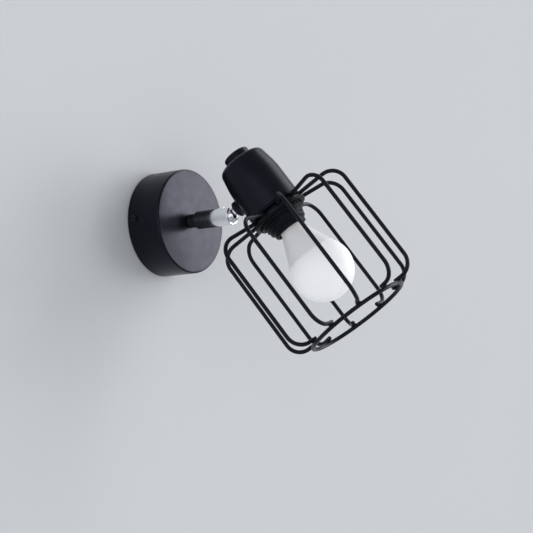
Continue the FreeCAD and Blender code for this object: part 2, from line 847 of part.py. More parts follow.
def make_nipple():
    """The hollow threaded nipple that carries the arm, its nut and its lock washer."""
    bore = s.nipple_bore / 2
    finished("arm_nipple", turned("arm_nipple_body", [
        (bore, s.nipple_back),
        (s.nipple_diameter / 2, s.nipple_back),
        (s.nipple_diameter / 2, s.nipple_thread_end),
        (s.nipple_journal_diameter / 2, s.nipple_thread_end),
        (s.nipple_journal_diameter / 2, nipple_front()),
        (s.nipple_flange_diameter / 2, nipple_front()),
        (s.nipple_flange_diameter / 2, nipple_front() + s.nipple_flange_thickness),
        (bore, nipple_front() + s.nipple_flange_thickness),
    ]), wall_frame())
    hole = s.nipple_diameter + 2 * s.snug
    top = s.canopy_depth - s.canopy_wall
    washer = tube("nipple_washer", s.nipple_washer_diameter, hole,
                  top - s.nipple_washer_thickness, top)
    finished("nipple_lock_washer", washer, wall_frame())
    low = top - s.nipple_washer_thickness - s.nipple_nut_thickness
    solid = hexagon("nipple_nut", s.nipple_nut_across_flats, s.nipple_nut_thickness, low)
    drill = cylinder("nipple_nut_drill", hole, s.nipple_nut_thickness * 3,
                     (0, 0, low - s.nipple_nut_thickness))
    finished("nipple_locknut", cut("nipple_nut_cut", solid, [drill]), wall_frame())


def make_socket():
    """The chrome socket: it turns on the nipple and holds the ball behind its lip."""
    back = s.nipple_thread_end + s.running_gap
    front = s.ball_distance + s.socket_lip
    outside = s.socket_diameter / 2
    seat = s.ball_diameter / 2 + s.running_gap
    journal = s.nipple_journal_diameter / 2 + s.running_gap
    chamber = nipple_front() - s.running_gap
    lip = leg(seat, s.socket_lip)
    barrel = turned("swivel_socket_body", [
        (journal, back),
        (outside - s.socket_back_chamfer, back),
        (outside, back + s.socket_back_chamfer),
        (outside, front - s.socket_rim_chamfer),
        (outside - s.socket_rim_chamfer, front),
        (lip, front),
        Arc(seat, anticlockwise=False),
        (seat, s.ball_distance),
        (seat, chamber),
        (journal, chamber),
    ])
    wide = s.socket_slot_width
    floor = s.ball_distance - s.socket_slot_back + wide / 2
    length = front - floor + s.tool_over
    way = block("socket_slot_way", (0, outside, floor), (wide, s.socket_diameter, length))
    end = cylinder("socket_slot_end", wide, s.socket_diameter, (0, 0, floor), (0, 1, 0))
    finished("swivel_socket", cut("socket_slotted", barrel, [way, end]), wall_frame())


def spring_start():
    return nipple_front() + s.nipple_flange_thickness + s.running_gap


def spring_pitch():
    return s.disc_spring_thickness + s.disc_spring_rise


def make_disc_springs():
    """The disc springs, back to back, that press the seat against the ball."""
    inner = s.disc_spring_bore / 2
    outer = s.nipple_flange_diameter / 2
    thick = s.disc_spring_thickness
    springs = []
    for number in range(DISC_SPRINGS):
        low = spring_start() + number * spring_pitch()
        if number % 2 == 0:
            inside, outside = low, low + s.disc_spring_rise
        else:
            inside, outside = low + s.disc_spring_rise, low
        springs.append(turned(f"disc_spring_{number}", [
            (inner, inside),
            (outer, outside),
            (outer, outside + thick),
            (inner, inside + thick),
        ]))
    finished("disc_springs", group("disc_spring_stack", springs), wall_frame())


def make_ball_seat():
    """The brass seat behind the ball."""
    low = spring_start() + DISC_SPRINGS * spring_pitch()
    front = s.ball_distance - s.seat_lip_setback
    curve = s.ball_diameter / 2 + s.running_gap
    bore = s.seat_bore / 2
    finished("ball_seat", turned("ball_seat_body", [
        (bore, low),
        (s.nipple_flange_diameter / 2, low),
        (s.nipple_flange_diameter / 2, front),
        (leg(curve, s.seat_lip_setback), front),
        Arc(curve, anticlockwise=False),
        (bore, s.ball_distance - leg(curve, bore)),
    ]), wall_frame())


def make_arm_leads():
    """The straight leads inside the socket, between the nipple and the ball."""
    start = spring_start()
    front = s.ball_distance - s.ball_diameter / 2 - s.running_gap
    routes = []
    for side in (-1, 1):
        across = side * s.supply_lead_offset
        routes.append([(across, 0, start), (across, 0, front)])
    leads("arm_leads", routes, s.lead_bend, s.supply_lead_diameter, wall_frame())


def make_ball_stud():
    """The ball with its hollow threaded stud."""
    ball = s.ball_diameter / 2
    flare = s.ball_flare_diameter / 2
    neck = s.stud_neck_diameter / 2
    bore = s.stud_bore / 2
    finished("ball_stud", turned("ball_stud_body", [
        (flare, -leg(ball, flare)),
        Arc(ball),
        (ball, 0),
        Arc(ball),
        (neck, leg(ball, neck)),
        (neck, s.stud_neck_end),
        (s.stud_diameter / 2, s.stud_neck_end),
        (s.stud_diameter / 2, s.stud_length),
        (bore, s.stud_length),
        (bore, s.ball_flare_depth - leg(ball, flare)),
    ]), ball_frame())


def make_stud_nut():
    """The washer and nut that hold the lampholder shell on the stud."""
    low = s.boss_pad_end + s.running_gap
    hole = s.stud_diameter + 2 * s.snug
    washer = tube("stud_washer_body", s.stud_washer_diameter, hole,
                  low, low + s.stud_washer_thickness)
    finished("stud_washer", washer, ball_frame())
    seat = low + s.stud_washer_thickness
    solid = hexagon("stud_nut_solid", s.stud_nut_across_flats, s.stud_nut_thickness, seat)
    drill = cylinder("stud_nut_drill", hole, s.stud_nut_thickness * 3,
                     (0, 0, seat - s.stud_nut_thickness))
    finished("stud_nut", cut("stud_nut_cut", solid, [drill]), ball_frame())


# ---------------------------------------------------------------- lampholder

def make_holder_shell():
    """The black shell of the lampholder, with the side boss that turns on the stud."""
    wall = s.shell_wall
    body = s.shell_diameter / 2
    neck = s.shell_neck_diameter / 2
    hole = s.tie_diameter / 2 + s.snug
    edge = s.shell_shoulder_round
    inner_edge = edge - wall
    shell = turned("holder_shell_body", [
        (hole, -s.shell_top),
        (neck - edge, -s.shell_top),
        Arc(edge),
        (neck, -s.shell_top + edge),
        (body, -s.shell_taper_end),
        (body, s.shell_skirt),
        (body - wall, s.shell_skirt),
        (body - wall, -s.shell_taper_end),
        (neck - wall, -s.shell_top + edge),
        Arc(inner_edge, anticlockwise=False),
        (neck - edge, -s.shell_top + wall),
        (hole, -s.shell_top + wall),
    ])
    start = s.stud_neck_end + s.running_gap - axis_distance()
    length = s.boss_pad_end - s.stud_neck_end - s.running_gap
    boss = cylinder("holder_boss", s.boss_diameter, length, (start, 0, 0), (1, 0, 0))
    bore = cylinder("holder_boss_bore", s.stud_diameter + 2 * s.running_gap,
                    length * 2, (start - length / 2, 0, 0), (1, 0, 0))
    whole = joined("holder_shell_joined", [shell, boss])
    finished("holder_shell", cut("holder_shell_bored", whole, [bore]), head_frame())


def make_top_knob():
    """The round knob that screws on the tie nipple above the shell."""
    radius = s.knob_diameter / 2
    top = -s.shell_top - s.knob_height
    bore = s.tie_diameter / 2 + s.snug
    finished("top_knob", turned("top_knob_body", [
        (0, top),
        (radius - s.knob_round, top),
        Arc(s.knob_round),
        (radius, top + s.knob_round),
        (radius, -s.shell_top),
        (bore, -s.shell_top),
        (bore, -s.shell_top - s.tie_cover),
        (0, -s.shell_top - s.tie_cover),
    ]), head_frame())


def make_tie_nipple():
    """The threaded nipple from the knob down to the bridge, with its nut."""
    top = -s.shell_top - s.tie_cover
    tie = tube("tie_nipple_body", s.tie_diameter, s.tie_bore, top, top + s.tie_length)
    finished("tie_nipple", tie, head_frame())
    low = -s.shell_top + s.shell_wall + s.bridge_thickness
    solid = hexagon("bridge_nut_solid", s.bridge_nut_across_flats, s.bridge_nut_thickness, low)
    drill = cylinder("bridge_nut_drill", s.tie_diameter + 2 * s.snug,
                     s.bridge_nut_thickness * 3, (0, 0, low - s.bridge_nut_thickness))
    finished("bridge_nut", cut("bridge_nut_cut", solid, [drill]), head_frame())


def make_holder_bridge():
    """The bent steel bridge that hangs the core from the tie nipple."""
    thick = s.bridge_thickness
    top = -s.shell_top + s.shell_wall
    foot = s.core_top - thick
    wide = s.bridge_leg_width
    screw = s.bridge_screw_spacing / 2
    reach = screw + s.bridge_screw_head_diameter / 2 + s.bridge_leg_gap + thick
    foot_end = screw - s.bridge_screw_diameter / 2 - s.bridge_foot_edge
    foot_length = reach - foot_end
    pieces = [block("bridge_plate", (0, 0, top), (wide, reach * 2, thick))]
    pieces.append(cylinder("bridge_disc", s.bridge_disc_diameter, thick, (0, 0, top)))
    tools = [cylinder("bridge_hole", s.tie_diameter + 2 * s.snug, thick * 3,
                      (0, 0, top - thick))]
    for number, side in enumerate((-1, 1)):
        middle = side * (reach - thick / 2)
        pieces.append(block(f"bridge_leg_{number}", (0, middle, top),
                            (wide, thick, s.core_top - top)))
        middle = side * (reach - foot_length / 2)
        pieces.append(block(f"bridge_foot_{number}", (0, middle, foot),
                            (wide, foot_length, thick)))
        start = (0, side * screw, foot - thick)
        tools.append(cylinder(f"bridge_foot_hole_{number}",
                              s.bridge_screw_diameter + 2 * s.snug, thick * 3, start))
    whole = joined("bridge_whole", pieces)
    finished("holder_bridge", cut("bridge_drilled", whole, tools), head_frame())


def place_screw(screw, across, along, seat):
    """Turns a screw to drive towards the lamp, with its head's foot at a height."""
    place = Placement(Vector(across, along, seat), Rotation(Vector(1, 0, 0), 180))
    return placed(screw, place)


def make_bridge_screws():
    """The two screws through the bridge's feet into the core."""
    seat = (s.core_top - s.bridge_thickness).value
    screws = []
    for number, side in enumerate((-1, 1)):
        screw = slotted_screw(f"bridge_screw_{number}", s.bridge_screw_diameter,
                              s.bridge_screw_length, s.bridge_screw_head_diameter,
                              s.bridge_screw_head_height)
        along = side * s.bridge_screw_spacing.value / 2
        screws.append(place_screw(screw, 0, along, seat))
    finished("bridge_screws", group("bridge_screw_pair", screws), head_frame())


def make_contact_screws():
    """The two terminal screws on top of the core."""
    screws = []
    for number, side in enumerate((-1, 1)):
        screw = slotted_screw(f"contact_screw_{number}", s.contact_screw_diameter,
                              s.contact_screw_length, s.contact_screw_head_diameter,
                              s.contact_screw_head_height)
        across = side * s.contact_screw_offset.value
        screws.append(place_screw(screw, across, 0, s.core_top.value))
    finished("contact_screws", group("contact_screw_pair", screws), head_frame())


def make_lampholder_core():
    """The moulded core that carries the contacts and the threaded sleeve."""
    sleeve_room = s.sleeve_diameter / 2 + s.snug
    core = turned("lampholder_core_body", [
        (0, s.core_top),
        (s.core_flange_diameter / 2, s.core_top),
        (s.core_flange_diameter / 2, s.core_flange_bottom),
        (s.core_diameter / 2, s.core_flange_bottom),
        (s.core_diameter / 2, s.core_bottom),
        (sleeve_room, s.core_bottom),
        (sleeve_room, s.core_seat),
        (s.core_chamber_diameter / 2, s.core_seat),
        (s.core_chamber_diameter / 2, s.core_chamber_floor),
        (0, s.core_chamber_floor),
    ])
    tools = []
    for number, side in enumerate((-1, 1)):
        start = (0, side * s.bridge_screw_spacing / 2, s.core_top - s.tool_over)
        depth = s.bridge_screw_length - s.bridge_thickness + s.tool_over
        tools.append(cylinder(f"core_bridge_drill_{number}",
                              s.bridge_screw_diameter + 2 * s.snug, depth, start))
        start = (side * s.contact_screw_offset, 0, s.core_top - s.tool_over)
        tools.append(cylinder(f"core_contact_drill_{number}",
                              s.contact_screw_diameter + 2 * s.snug,
                              s.contact_screw_length + s.tool_over, start))
    finished("lampholder_core", cut("core_drilled", core, tools), head_frame())


def make_thread_sleeve():
    """The metal sleeve that the lamp's cap screws into."""
    outside = s.sleeve_diameter / 2
    inside = outside - s.sleeve_wall
    foot = s.sleeve_foot_bore / 2
    finished("thread_sleeve", turned("thread_sleeve_body", [
        (foot, s.core_seat),
        (outside, s.core_seat),
        (outside, s.sleeve_bottom),
        (inside, s.sleeve_bottom),
        (inside, s.core_seat + s.sleeve_wall),
        (foot, s.core_seat + s.sleeve_wall),
    ]), head_frame())


def make_centre_contact():
    """The bent strip that touches the lamp's tip."""
    thick = s.contact_strip_thickness
    wide = s.contact_strip_width
    face = s.lamp_tip_top - s.contact_preload_gap
    reach = s.contact_strip_reach
    span = reach + wide / 2
    tongue = block("contact_tongue", (reach - span / 2, 0, face - thick), (span, wide, thick))
    leg_height = face - s.core_chamber_floor
    stand = block("contact_stand", (reach - thick / 2, 0, s.core_chamber_floor),
                  (thick, wide, leg_height))
    finished("centre_contact", joined("contact_strip", [tongue, stand]), head_frame())


def thread_ridges(radius, depth, pitch, start, end):
    """Points of a thread's outline from start to end, one whole ridge for each pitch."""
    turns = int((end.value - start.value) / pitch.value)
    points = []
    for turn in range(turns):
        low = start + turn * pitch
        points.append((radius - depth, low + pitch * RIDGE[0]))
        points.append((radius, low + pitch * RIDGE[1]))
        points.append((radius, low + pitch * RIDGE[2]))
        points.append((radius - depth, low + pitch * RIDGE[3]))
    return points


def skirt_bore():
    return s.core_diameter / 2 + s.snug


def make_lampholder_skirt():
    """The threaded outer skirt of the lampholder, which the cage and shade ring sit on."""
    flange = s.shell_diameter / 2 - s.shell_wall - s.skirt_shell_gap
    lip = s.shell_diameter / 2 - s.skirt_lip_inset
    lip_top = s.shell_skirt + s.snug
    lip_bottom = lip_top + s.skirt_lip_thickness
    flange_top = lip_top - s.skirt_flange_thickness
    thread = s.skirt_thread_diameter / 2
    shoulder_top = s.collar_top - s.skirt_shoulder_thickness
    nose = s.skirt_nose_diameter / 2
    neck = s.skirt_neck_diameter / 2
    neck_end = s.skirt_thread_bottom + s.skirt_neck_length
    above = thread_ridges(thread, s.skirt_thread_depth, s.skirt_thread_pitch,
                          lip_bottom, shoulder_top)
    below = thread_ridges(thread, s.skirt_thread_depth, s.skirt_thread_pitch,
                          s.collar_top, s.skirt_thread_bottom)
    root = thread - s.skirt_thread_depth
    chain = [
        (skirt_bore(), s.core_flange_bottom),
        (s.skirt_upper_diameter / 2, s.core_flange_bottom),
        (s.skirt_upper_diameter / 2, flange_top),
        (flange, flange_top),
        (flange, lip_top),
        (lip, lip_top),
        (lip, lip_bottom),
        (root, lip_bottom),
    ]
    chain += above
    chain += [
        (root, shoulder_top),
        (s.skirt_shoulder_diameter / 2, shoulder_top),
        (s.skirt_shoulder_diameter / 2, s.collar_top),
        (root, s.collar_top),
    ]
    chain += below
    chain += [
        (root, s.skirt_thread_bottom),
        (neck, s.skirt_thread_bottom),
        (neck, neck_end),
        (nose, neck_end + s.skirt_nose_chamfer),
        (nose, s.skirt_bottom - s.skirt_nose_chamfer),
        (nose - s.skirt_nose_chamfer, s.skirt_bottom),
        (skirt_bore(), s.skirt_bottom),
    ]
    finished("lampholder_skirt", turned("lampholder_skirt_body", chain), head_frame())


def make_head_leads():
    """The two leads from the ball's bore through the stud to the contact screws."""
    start = s.head_lead_start - axis_distance()
    end = s.core_top - s.snug
    beside = s.contact_screw_offset + s.contact_screw_head_diameter / 2
    stop = beside + s.head_lead_diameter / 2 + s.running_gap
    near = -s.head_lead_offset
    far = as_size(s.head_lead_offset)
    routes = [
        [(start, far, 0), (-stop, far, 0), (-stop, far, end)],
        [(start, near, 0), (stop, near, 0), (stop, near, end)],
    ]
    leads("head_leads", routes, s.lead_bend, s.head_lead_diameter, head_frame())


# ---------------------------------------------------------------- cage

def wire_top():
    """Height of the wires' upper run, which lies on the collar."""
    return s.collar_top - s.cage_wire_diameter / 2


def wire_bottom():
    """Height of the wires' lower run, which lies on the bottom ring."""
    return s.cage_ring_height - s.cage_wire_diameter


def make_cage_wire(number):
    """One bent wire of the cage, from the collar out, down and in to the bottom ring."""
    name = f"cage_wire_{number + 1:02d}"
    body = new_body(name + "_body")
    path = new_sketch(body, name + "_path", "XZ_Plane")
    top = wire_top()
    bottom = wire_bottom()
    out = s.cage_radius
    draw_chain(path, [
        (s.cage_inner_radius, top),
        (out - s.cage_top_bend, top),
        Arc(s.cage_top_bend),
        (out, top + s.cage_top_bend),
        (out, bottom - s.cage_bottom_bend),
        Arc(s.cage_bottom_bend),
        (out - s.cage_bottom_bend, bottom),
        (s.cage_foot_radius, bottom),
    ], closed=False)
    section = new_sketch(body, name + "_section", "YZ_Plane", s.cage_inner_radius)
    centre = Vector(0, top.value, 0)
    circle = Part.Circle(centre, Vector(0, 0, 1), s.cage_wire_diameter.value / 2)
    edge = section.addGeometry(circle)
    pin_point(section, edge, 3, as_size(0), top)
    rule = Sketcher.Constraint("Radius", edge, s.cage_wire_diameter.value / 2)
    index = section.addConstraint(rule)
    section.setExpression(f"Constraints[{index}]", (s.cage_wire_diameter / 2).text)
    doc.recompute()
    pipe = body.newObject("PartDesign::AdditivePipe", name + "_bent")
    pipe.Profile = section
    pipe.Spine = (path, [f"Edge{count}" for count in range(1, 6)])
    body.Tip = pipe
    turn = s.cage_wire_phase.value + number * 360 / SIZES["cage_wires"]
    finished(name, body, head_frame(turn))


def make_cage_rings():
    """The flat collar that the wires start on and the wire ring that they end on."""
    bore = s.skirt_thread_diameter + 2 * s.collar_thread_gap
    collar = tube("cage_collar_body", s.collar_diameter, bore,
                  s.collar_top, s.collar_top + s.collar_thickness)
    finished("cage_collar", collar, head_frame())
    ring = doc.addObject("Part::Torus", "cage_ring")
    bind(ring, "Radius1", s.cage_ring_radius)
    bind(ring, "Radius2", s.cage_wire_diameter / 2)
    finished("cage_bottom_ring", ring, head_frame(0, s.cage_ring_height.value))


def make_shade_ring():
    """The knurled ring that clamps the cage's collar on the skirt."""
    top = s.collar_top + s.collar_thickness + s.running_gap
    bore = s.skirt_thread_diameter / 2 + s.shade_ring_gap
    flange = s.shade_ring_flange_diameter / 2
    grip = s.shade_ring_grip_diameter / 2
    flange_end = top + s.shade_ring_flange_thickness
    bottom = top + s.shade_ring_height
    body = turned("shade_ring_body", [
        (bore, top),
        (flange, top),
        (flange, flange_end),
        (grip, flange_end),
        (grip, bottom),
        (bore, bottom),
    ])
    groove = new_sketch(body, "shade_ring_groove", "XY_Plane", bottom)
    half = s.shade_ring_groove_width / 2
    draw_chain(groove, [
        (grip - s.shade_ring_groove_depth, -half / 2),
        (flange, -half),
        (flange, half),
        (grip - s.shade_ring_groove_depth, half / 2),
    ])
    doc.recompute()
    before = body.Shape.Volume
    pocket = body.newObject("PartDesign::Pocket", "shade_ring_notch")
    pocket.Profile = groove
    pocket.Type = 0
    bind(pocket, "Length", s.shade_ring_height - s.shade_ring_flange_thickness)
    doc.recompute()
    if pocket.Shape.Volume >= before:
        pocket.Reversed = True
    pattern = body.newObject("PartDesign::PolarPattern", "shade_ring_grip")
    pattern.Originals = [pocket]
    pattern.Axis = (groove, ["N_Axis"])
    pattern.Angle = 360
    pattern.Occurrences = int(SIZES["shade_ring_grooves"])
    body.Tip = pattern
    finished("shade_ring", body, head_frame())


# ---------------------------------------------------------------- lamp

def seam_height():
    """Where the dome meets the lamp's body, from the stud's axis."""
    return s.globe_height - s.lamp_seam


def seam_radius():
    """Radius of the globe where the dome meets the lamp's body."""
    return leg(s.globe_diameter / 2, s.lamp_seam)


def make_lamp_dome():
    """The opal dome of the lamp."""
    outer = s.globe_diameter / 2
    inner = outer - s.globe_wall
    inner_seam = leg(inner, s.lamp_seam)
    finished("lamp_dome", turned("lamp_dome_body", [
        (seam_radius(), seam_height()),
        Arc(outer),
        (outer, s.globe_height),
        Arc(outer),
        (0, s.globe_height + outer),
        (0, s.globe_height + inner),
        Arc(inner, anticlockwise=False),
        (inner, s.globe_height),
        Arc(inner, anticlockwise=False),
        (inner_seam, seam_height()),
    ]), head_frame())


def board_face():
    """Height of the light board's foot, on its ledge inside the body."""
    return seam_height() - s.light_board_thickness - s.snug


def board_room():
    """Radius of the recess that the light board lies in."""
    return seam_radius() - s.lamp_body_wall


def make_lamp_body():
    """The moulded cone between the lamp's cap and its dome."""
    neck = s.lamp_body_neck_diameter / 2
    plug = s.lamp_cap_diameter / 2 - s.lamp_cap_wall - s.snug
    bore = s.lamp_plug_bore / 2
    ledge = board_room() - s.light_board_ledge
    finished("lamp_body", turned("lamp_body_cone", [
        (bore, s.lamp_body_top - s.lamp_plug_length),
        (plug, s.lamp_body_top - s.lamp_plug_length),
        (plug, s.lamp_body_top),
        (neck, s.lamp_body_top),
        (neck, s.lamp_body_neck_end),
        (seam_radius(), seam_height()),
        (board_room(), seam_height()),
        (board_room(), board_face()),
        (ledge, board_face()),
        (bore, s.lamp_body_neck_end),
    ]), head_frame())


def make_lamp_boards():
    """The board with the light chips, and the driver board that stands in the body."""
    low = board_face()
    edge = board_room() - s.snug
    top = low + s.light_board_thickness
    disc = turned("light_board_disc", [(0, low), (edge, low), (edge, top), (0, top)])
    finished("light_board", disc, head_frame())
    chips = []
    side = s.light_chip_side
    for number in range(SIZES["light_chips"]):
        angle = math.radians(number * 360 / SIZES["light_chips"])
        ring = edge - s.light_chip_inset
        middle = (ring * math.cos(angle), ring * math.sin(angle), top)
        chips.append(block(f"light_chip_{number}", middle, (side, side, s.light_chip_height)))
    finished("light_chips", group("light_chip_set", chips), head_frame())
    thick = s.driver_board_thickness
    height = low - s.driver_board_top
    plate = block("driver_plate", (0, 0, s.driver_board_top),
                  (s.driver_board_width, thick, height))
    across = s.driver_capacitor_diameter / 2 + thick / 2 - s.snug
    start = (0, across, low - s.driver_capacitor_length - s.driver_capacitor_diameter)
    can = cylinder("driver_capacitor", s.driver_capacitor_diameter,
                   s.driver_capacitor_length, start)
    finished("driver_board", joined("driver_whole", [plate, can]), head_frame())


def make_lamp_cap():
    """The lamp's screw cap, the insulator in its end and the tip contact."""
    outside = s.lamp_cap_diameter / 2
    inside = outside - s.lamp_cap_wall
    cap = tube("lamp_cap_body", s.lamp_cap_diameter, inside * 2, s.lamp_cap_top, s.lamp_body_top)
    finished("lamp_cap", cap, head_frame())
    hole = s.lamp_tip_shank / 2 + s.snug
    wide = inside - s.running_gap
    finished("lamp_insulator", turned("lamp_insulator_body", [
        (hole, s.lamp_insulator_top),
        (s.lamp_insulator_diameter / 2, s.lamp_insulator_top),
        (wide, s.lamp_cap_top),
        (wide, s.lamp_cap_top + s.lamp_insulator_inset),
        (hole, s.lamp_cap_top + s.lamp_insulator_inset),
    ]), head_frame())
    head = s.lamp_tip_diameter / 2
    shank = s.lamp_tip_shank / 2
    finished("lamp_tip", turned("lamp_tip_body", [
        (0, s.lamp_tip_top),
        (shank, s.lamp_tip_top),
        (head, (s.lamp_tip_top + s.lamp_insulator_top) / 2),
        (head, s.lamp_insulator_top),
        (shank, s.lamp_insulator_top),
        (shank, s.lamp_tip_top + s.lamp_tip_length),
        (0, s.lamp_tip_top + s.lamp_tip_length),
    ]), head_frame())


# ---------------------------------------------------------------- build, check and write

def build():
    make_canopy_cup()
    make_wall_bracket()
    make_side_screws()
    make_terminal_block()
    make_terminal_barrels()
    make_terminal_screws()
    make_block_screws()
    make_earth_terminal()
    make_canopy_leads()
    make_nipple()
    make_socket()
    make_disc_springs()
    make_ball_seat()
    make_arm_leads()
    make_ball_stud()
    make_stud_nut()
    make_holder_shell()
    make_top_knob()
    make_tie_nipple()
    make_holder_bridge()
    make_bridge_screws()
    make_contact_screws()
    make_lampholder_core()
    make_thread_sleeve()
    make_centre_contact()
    make_lampholder_skirt()
    make_head_leads()
    for number in range(SIZES["cage_wires"]):
        make_cage_wire(number)
    make_cage_rings()
    make_shade_ring()
    make_lamp_dome()
    make_lamp_body()
    make_lamp_boards()
    make_lamp_cap()
    doc.recompute()


def check():
    """Stops if any object failed or any sub-part is empty or broken."""
    for item in doc.Objects:
        for word in ("Invalid", "Error"):
            if word in item.State:
                raise RuntimeError(f"{item.Label} is {item.State}")
    for item in sub_parts:
        if item.Shape.isNull() or not item.Shape.isValid() or not item.Shape.Solids:
            raise RuntimeError(f"{item.Label} has no sound shape")


def write():
    """Writes each sub-part to its own file."""
    os.makedirs("parts", exist_ok=True)
    for item in sub_parts:
        item.Shape.exportStep(f"parts/{item.Label}.step")
    print(f"{len(sub_parts)} sub-parts written")


build()
check()
write()
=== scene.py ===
# %% [markdown]
# # A cage wall light, dressed in Blender
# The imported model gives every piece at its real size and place. This script gives the pieces
# that show their finished shapes and finishes. It works in metres, in the same frame as the
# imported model: the wall is the plane y = 0, the light stands out along -Y and +Z is up.

import json
import math

import bmesh
import bpy
from mathutils import Matrix, Vector


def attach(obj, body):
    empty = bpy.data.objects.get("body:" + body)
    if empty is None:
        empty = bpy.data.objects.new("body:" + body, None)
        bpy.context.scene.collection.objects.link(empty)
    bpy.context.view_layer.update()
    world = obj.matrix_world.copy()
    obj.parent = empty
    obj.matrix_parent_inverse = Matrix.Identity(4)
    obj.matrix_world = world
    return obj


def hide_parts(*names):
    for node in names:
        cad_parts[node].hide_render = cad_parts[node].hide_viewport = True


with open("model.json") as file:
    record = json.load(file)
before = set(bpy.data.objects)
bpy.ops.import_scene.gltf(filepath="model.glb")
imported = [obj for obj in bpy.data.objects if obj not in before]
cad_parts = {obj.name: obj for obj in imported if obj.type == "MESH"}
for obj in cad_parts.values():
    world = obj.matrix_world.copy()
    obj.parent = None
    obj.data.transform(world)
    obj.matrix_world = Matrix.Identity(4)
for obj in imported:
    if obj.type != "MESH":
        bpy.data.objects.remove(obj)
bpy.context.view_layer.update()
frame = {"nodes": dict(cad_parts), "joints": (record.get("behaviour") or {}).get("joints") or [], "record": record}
MM = 0.001                        # one millimetre, in metres

# %% [markdown]
# ## Local frames
# Turned pieces are easiest to draw round their own Z axis. The joints already say where those
# axes lie: the ball's centre, the stud's direction and the lampholder's axis. Each matrix below
# takes a point from a piece's own frame to the whole model's.

# %% Local frames from the joints
joints = {joint["name"]: joint for joint in frame["joints"]}
ball_centre = Vector(joints["head_tilt"]["pos_m"])
stud_axis = Vector(joints["head_twist"]["axis"]).normalized()
head_origin = Vector(joints["shade_ring_turn"]["pos_m"])
head_axis = Vector(joints["shade_ring_turn"]["axis"]).normalized()


def frame_matrix(origin, x_axis, z_axis):
    """A matrix whose columns are a frame's three directions and its origin."""
    y_axis = z_axis.cross(x_axis)
    turn = Matrix((x_axis, y_axis, z_axis)).transposed()
    return Matrix.Translation(origin) @ turn.to_4x4()


WALL = frame_matrix(Vector((0, 0, 0)), Vector((1, 0, 0)), Vector((0, -1, 0)))
BALL = frame_matrix(ball_centre, Vector((1, 0, 0)), stud_axis)
HEAD = frame_matrix(head_origin, stud_axis, head_axis)
print("ball", [round(v, 4) for v in ball_centre], "head", [round(v, 4) for v in head_origin])

# %% [markdown]
# ## Camera
# The photograph looks at the light from the left and from a little below, through a long lens.
# The camera's place and turn were solved from the canopy's two edges, the cage's wires and the
# bottom ring, so the render can be laid over the photograph.

# %% Camera
PHOTO_SIDE = 533                  # pixels, both ways
FOCAL_PIXELS = 1500
SENSOR = 36.0                     # millimetres
CAMERA_PLACE = Vector((-836.07, -685.24, -162.52)) * MM
CAMERA_RIGHT = Vector((0.5799977, -0.81438185, -0.01961836))
CAMERA_UP = Vector((-0.08671143, -0.0856656, 0.99254347))

camera_data = bpy.data.cameras.new("camera")
camera_data.sensor_width = SENSOR
camera_data.lens = FOCAL_PIXELS / PHOTO_SIDE * SENSOR
camera_data.clip_start = 0.01
camera_data.clip_end = 20
camera = bpy.data.objects.new("camera", camera_data)
bpy.context.scene.collection.objects.link(camera)
camera.matrix_world = frame_matrix(CAMERA_PLACE, CAMERA_RIGHT, CAMERA_RIGHT.cross(CAMERA_UP))
bpy.context.scene.camera = camera
print("lens", round(camera_data.lens, 1), "mm")

# %% [markdown]
# ## Shader helpers
# Every finish is a Principled shader with patterns on Object coordinates. A pattern steers
# roughness and bump, and colour where the real finish varies. Numbers that are the same all
# over a surface are set on the shader's own sockets.

# %% Shader helpers
NOISE_LOW = 0.3                   # nearly all of a noise pattern lies between these two
NOISE_HIGH = 0.7


def new_finish(name, colour, roughness, metallic=0.0):
    """A material with a Principled shader; returns the material, its tree and the shader."""
    material = bpy.data.materials.new(name)
    material.use_nodes = True
    tree = material.node_tree
    shader = tree.nodes["Principled BSDF"]
    shader.inputs["Base Color"].default_value = (*colour, 1)
    shader.inputs["Roughness"].default_value = roughness
    shader.inputs["Metallic"].default_value = metallic
    return material, tree, shader


def noise(tree, size, detail=3.0, stretch=(1, 1, 1)):
    """A noise pattern whose grains are about size metres across; returns its value socket."""
    place = tree.nodes.new("ShaderNodeTexCoord")
    mapping = tree.nodes.new("ShaderNodeMapping")
    mapping.inputs["Scale"].default_value = stretch
    pattern = tree.nodes.new("ShaderNodeTexNoise")
    pattern.inputs["Scale"].default_value = 1 / size
    pattern.inputs["Detail"].default_value = detail
    tree.links.new(place.outputs["Object"], mapping.inputs["Vector"])
    tree.links.new(mapping.outputs["Vector"], pattern.inputs["Vector"])
    return pattern.outputs["Fac"]


def remap(tree, value, low, high):
    """Spreads a pattern over the range low to high."""
    spread = tree.nodes.new("ShaderNodeMapRange")
    spread.inputs["From Min"].default_value = NOISE_LOW
    spread.inputs["From Max"].default_value = NOISE_HIGH
    spread.inputs["To Min"].default_value = low
    spread.inputs["To Max"].default_value = high
    tree.links.new(value, spread.inputs["Value"])
    return spread.outputs["Result"]


def tint(tree, shader, value, dark, light):
    """Mixes two colours by a pattern into the shader's base colour."""
    mix = tree.nodes.new("ShaderNodeMix")
    mix.data_type = "RGBA"
    mix.inputs["A"].default_value = (*dark, 1)
    mix.inputs["B"].default_value = (*light, 1)
    tree.links.new(remap(tree, value, 0, 1), mix.inputs["Factor"])
    tree.links.new(mix.outputs["Result"], shader.inputs["Base Color"])


def bump(tree, shader, value, height):
    """Raises the surface by a pattern, height metres at most."""
    relief = tree.nodes.new("ShaderNodeBump")
    relief.inputs["Strength"].default_value = 1.0
    relief.inputs["Distance"].default_value = height
    tree.links.new(value, relief.inputs["Height"])
    tree.links.new(relief.outputs["Normal"], shader.inputs["Normal"])


def uneven(tree, shader, size, low, high, detail=3.0, stretch=(1, 1, 1)):
    """Lets the roughness wander between two values."""
    tree.links.new(remap(tree, noise(tree, size, detail, stretch), low, high),
                   shader.inputs["Roughness"])


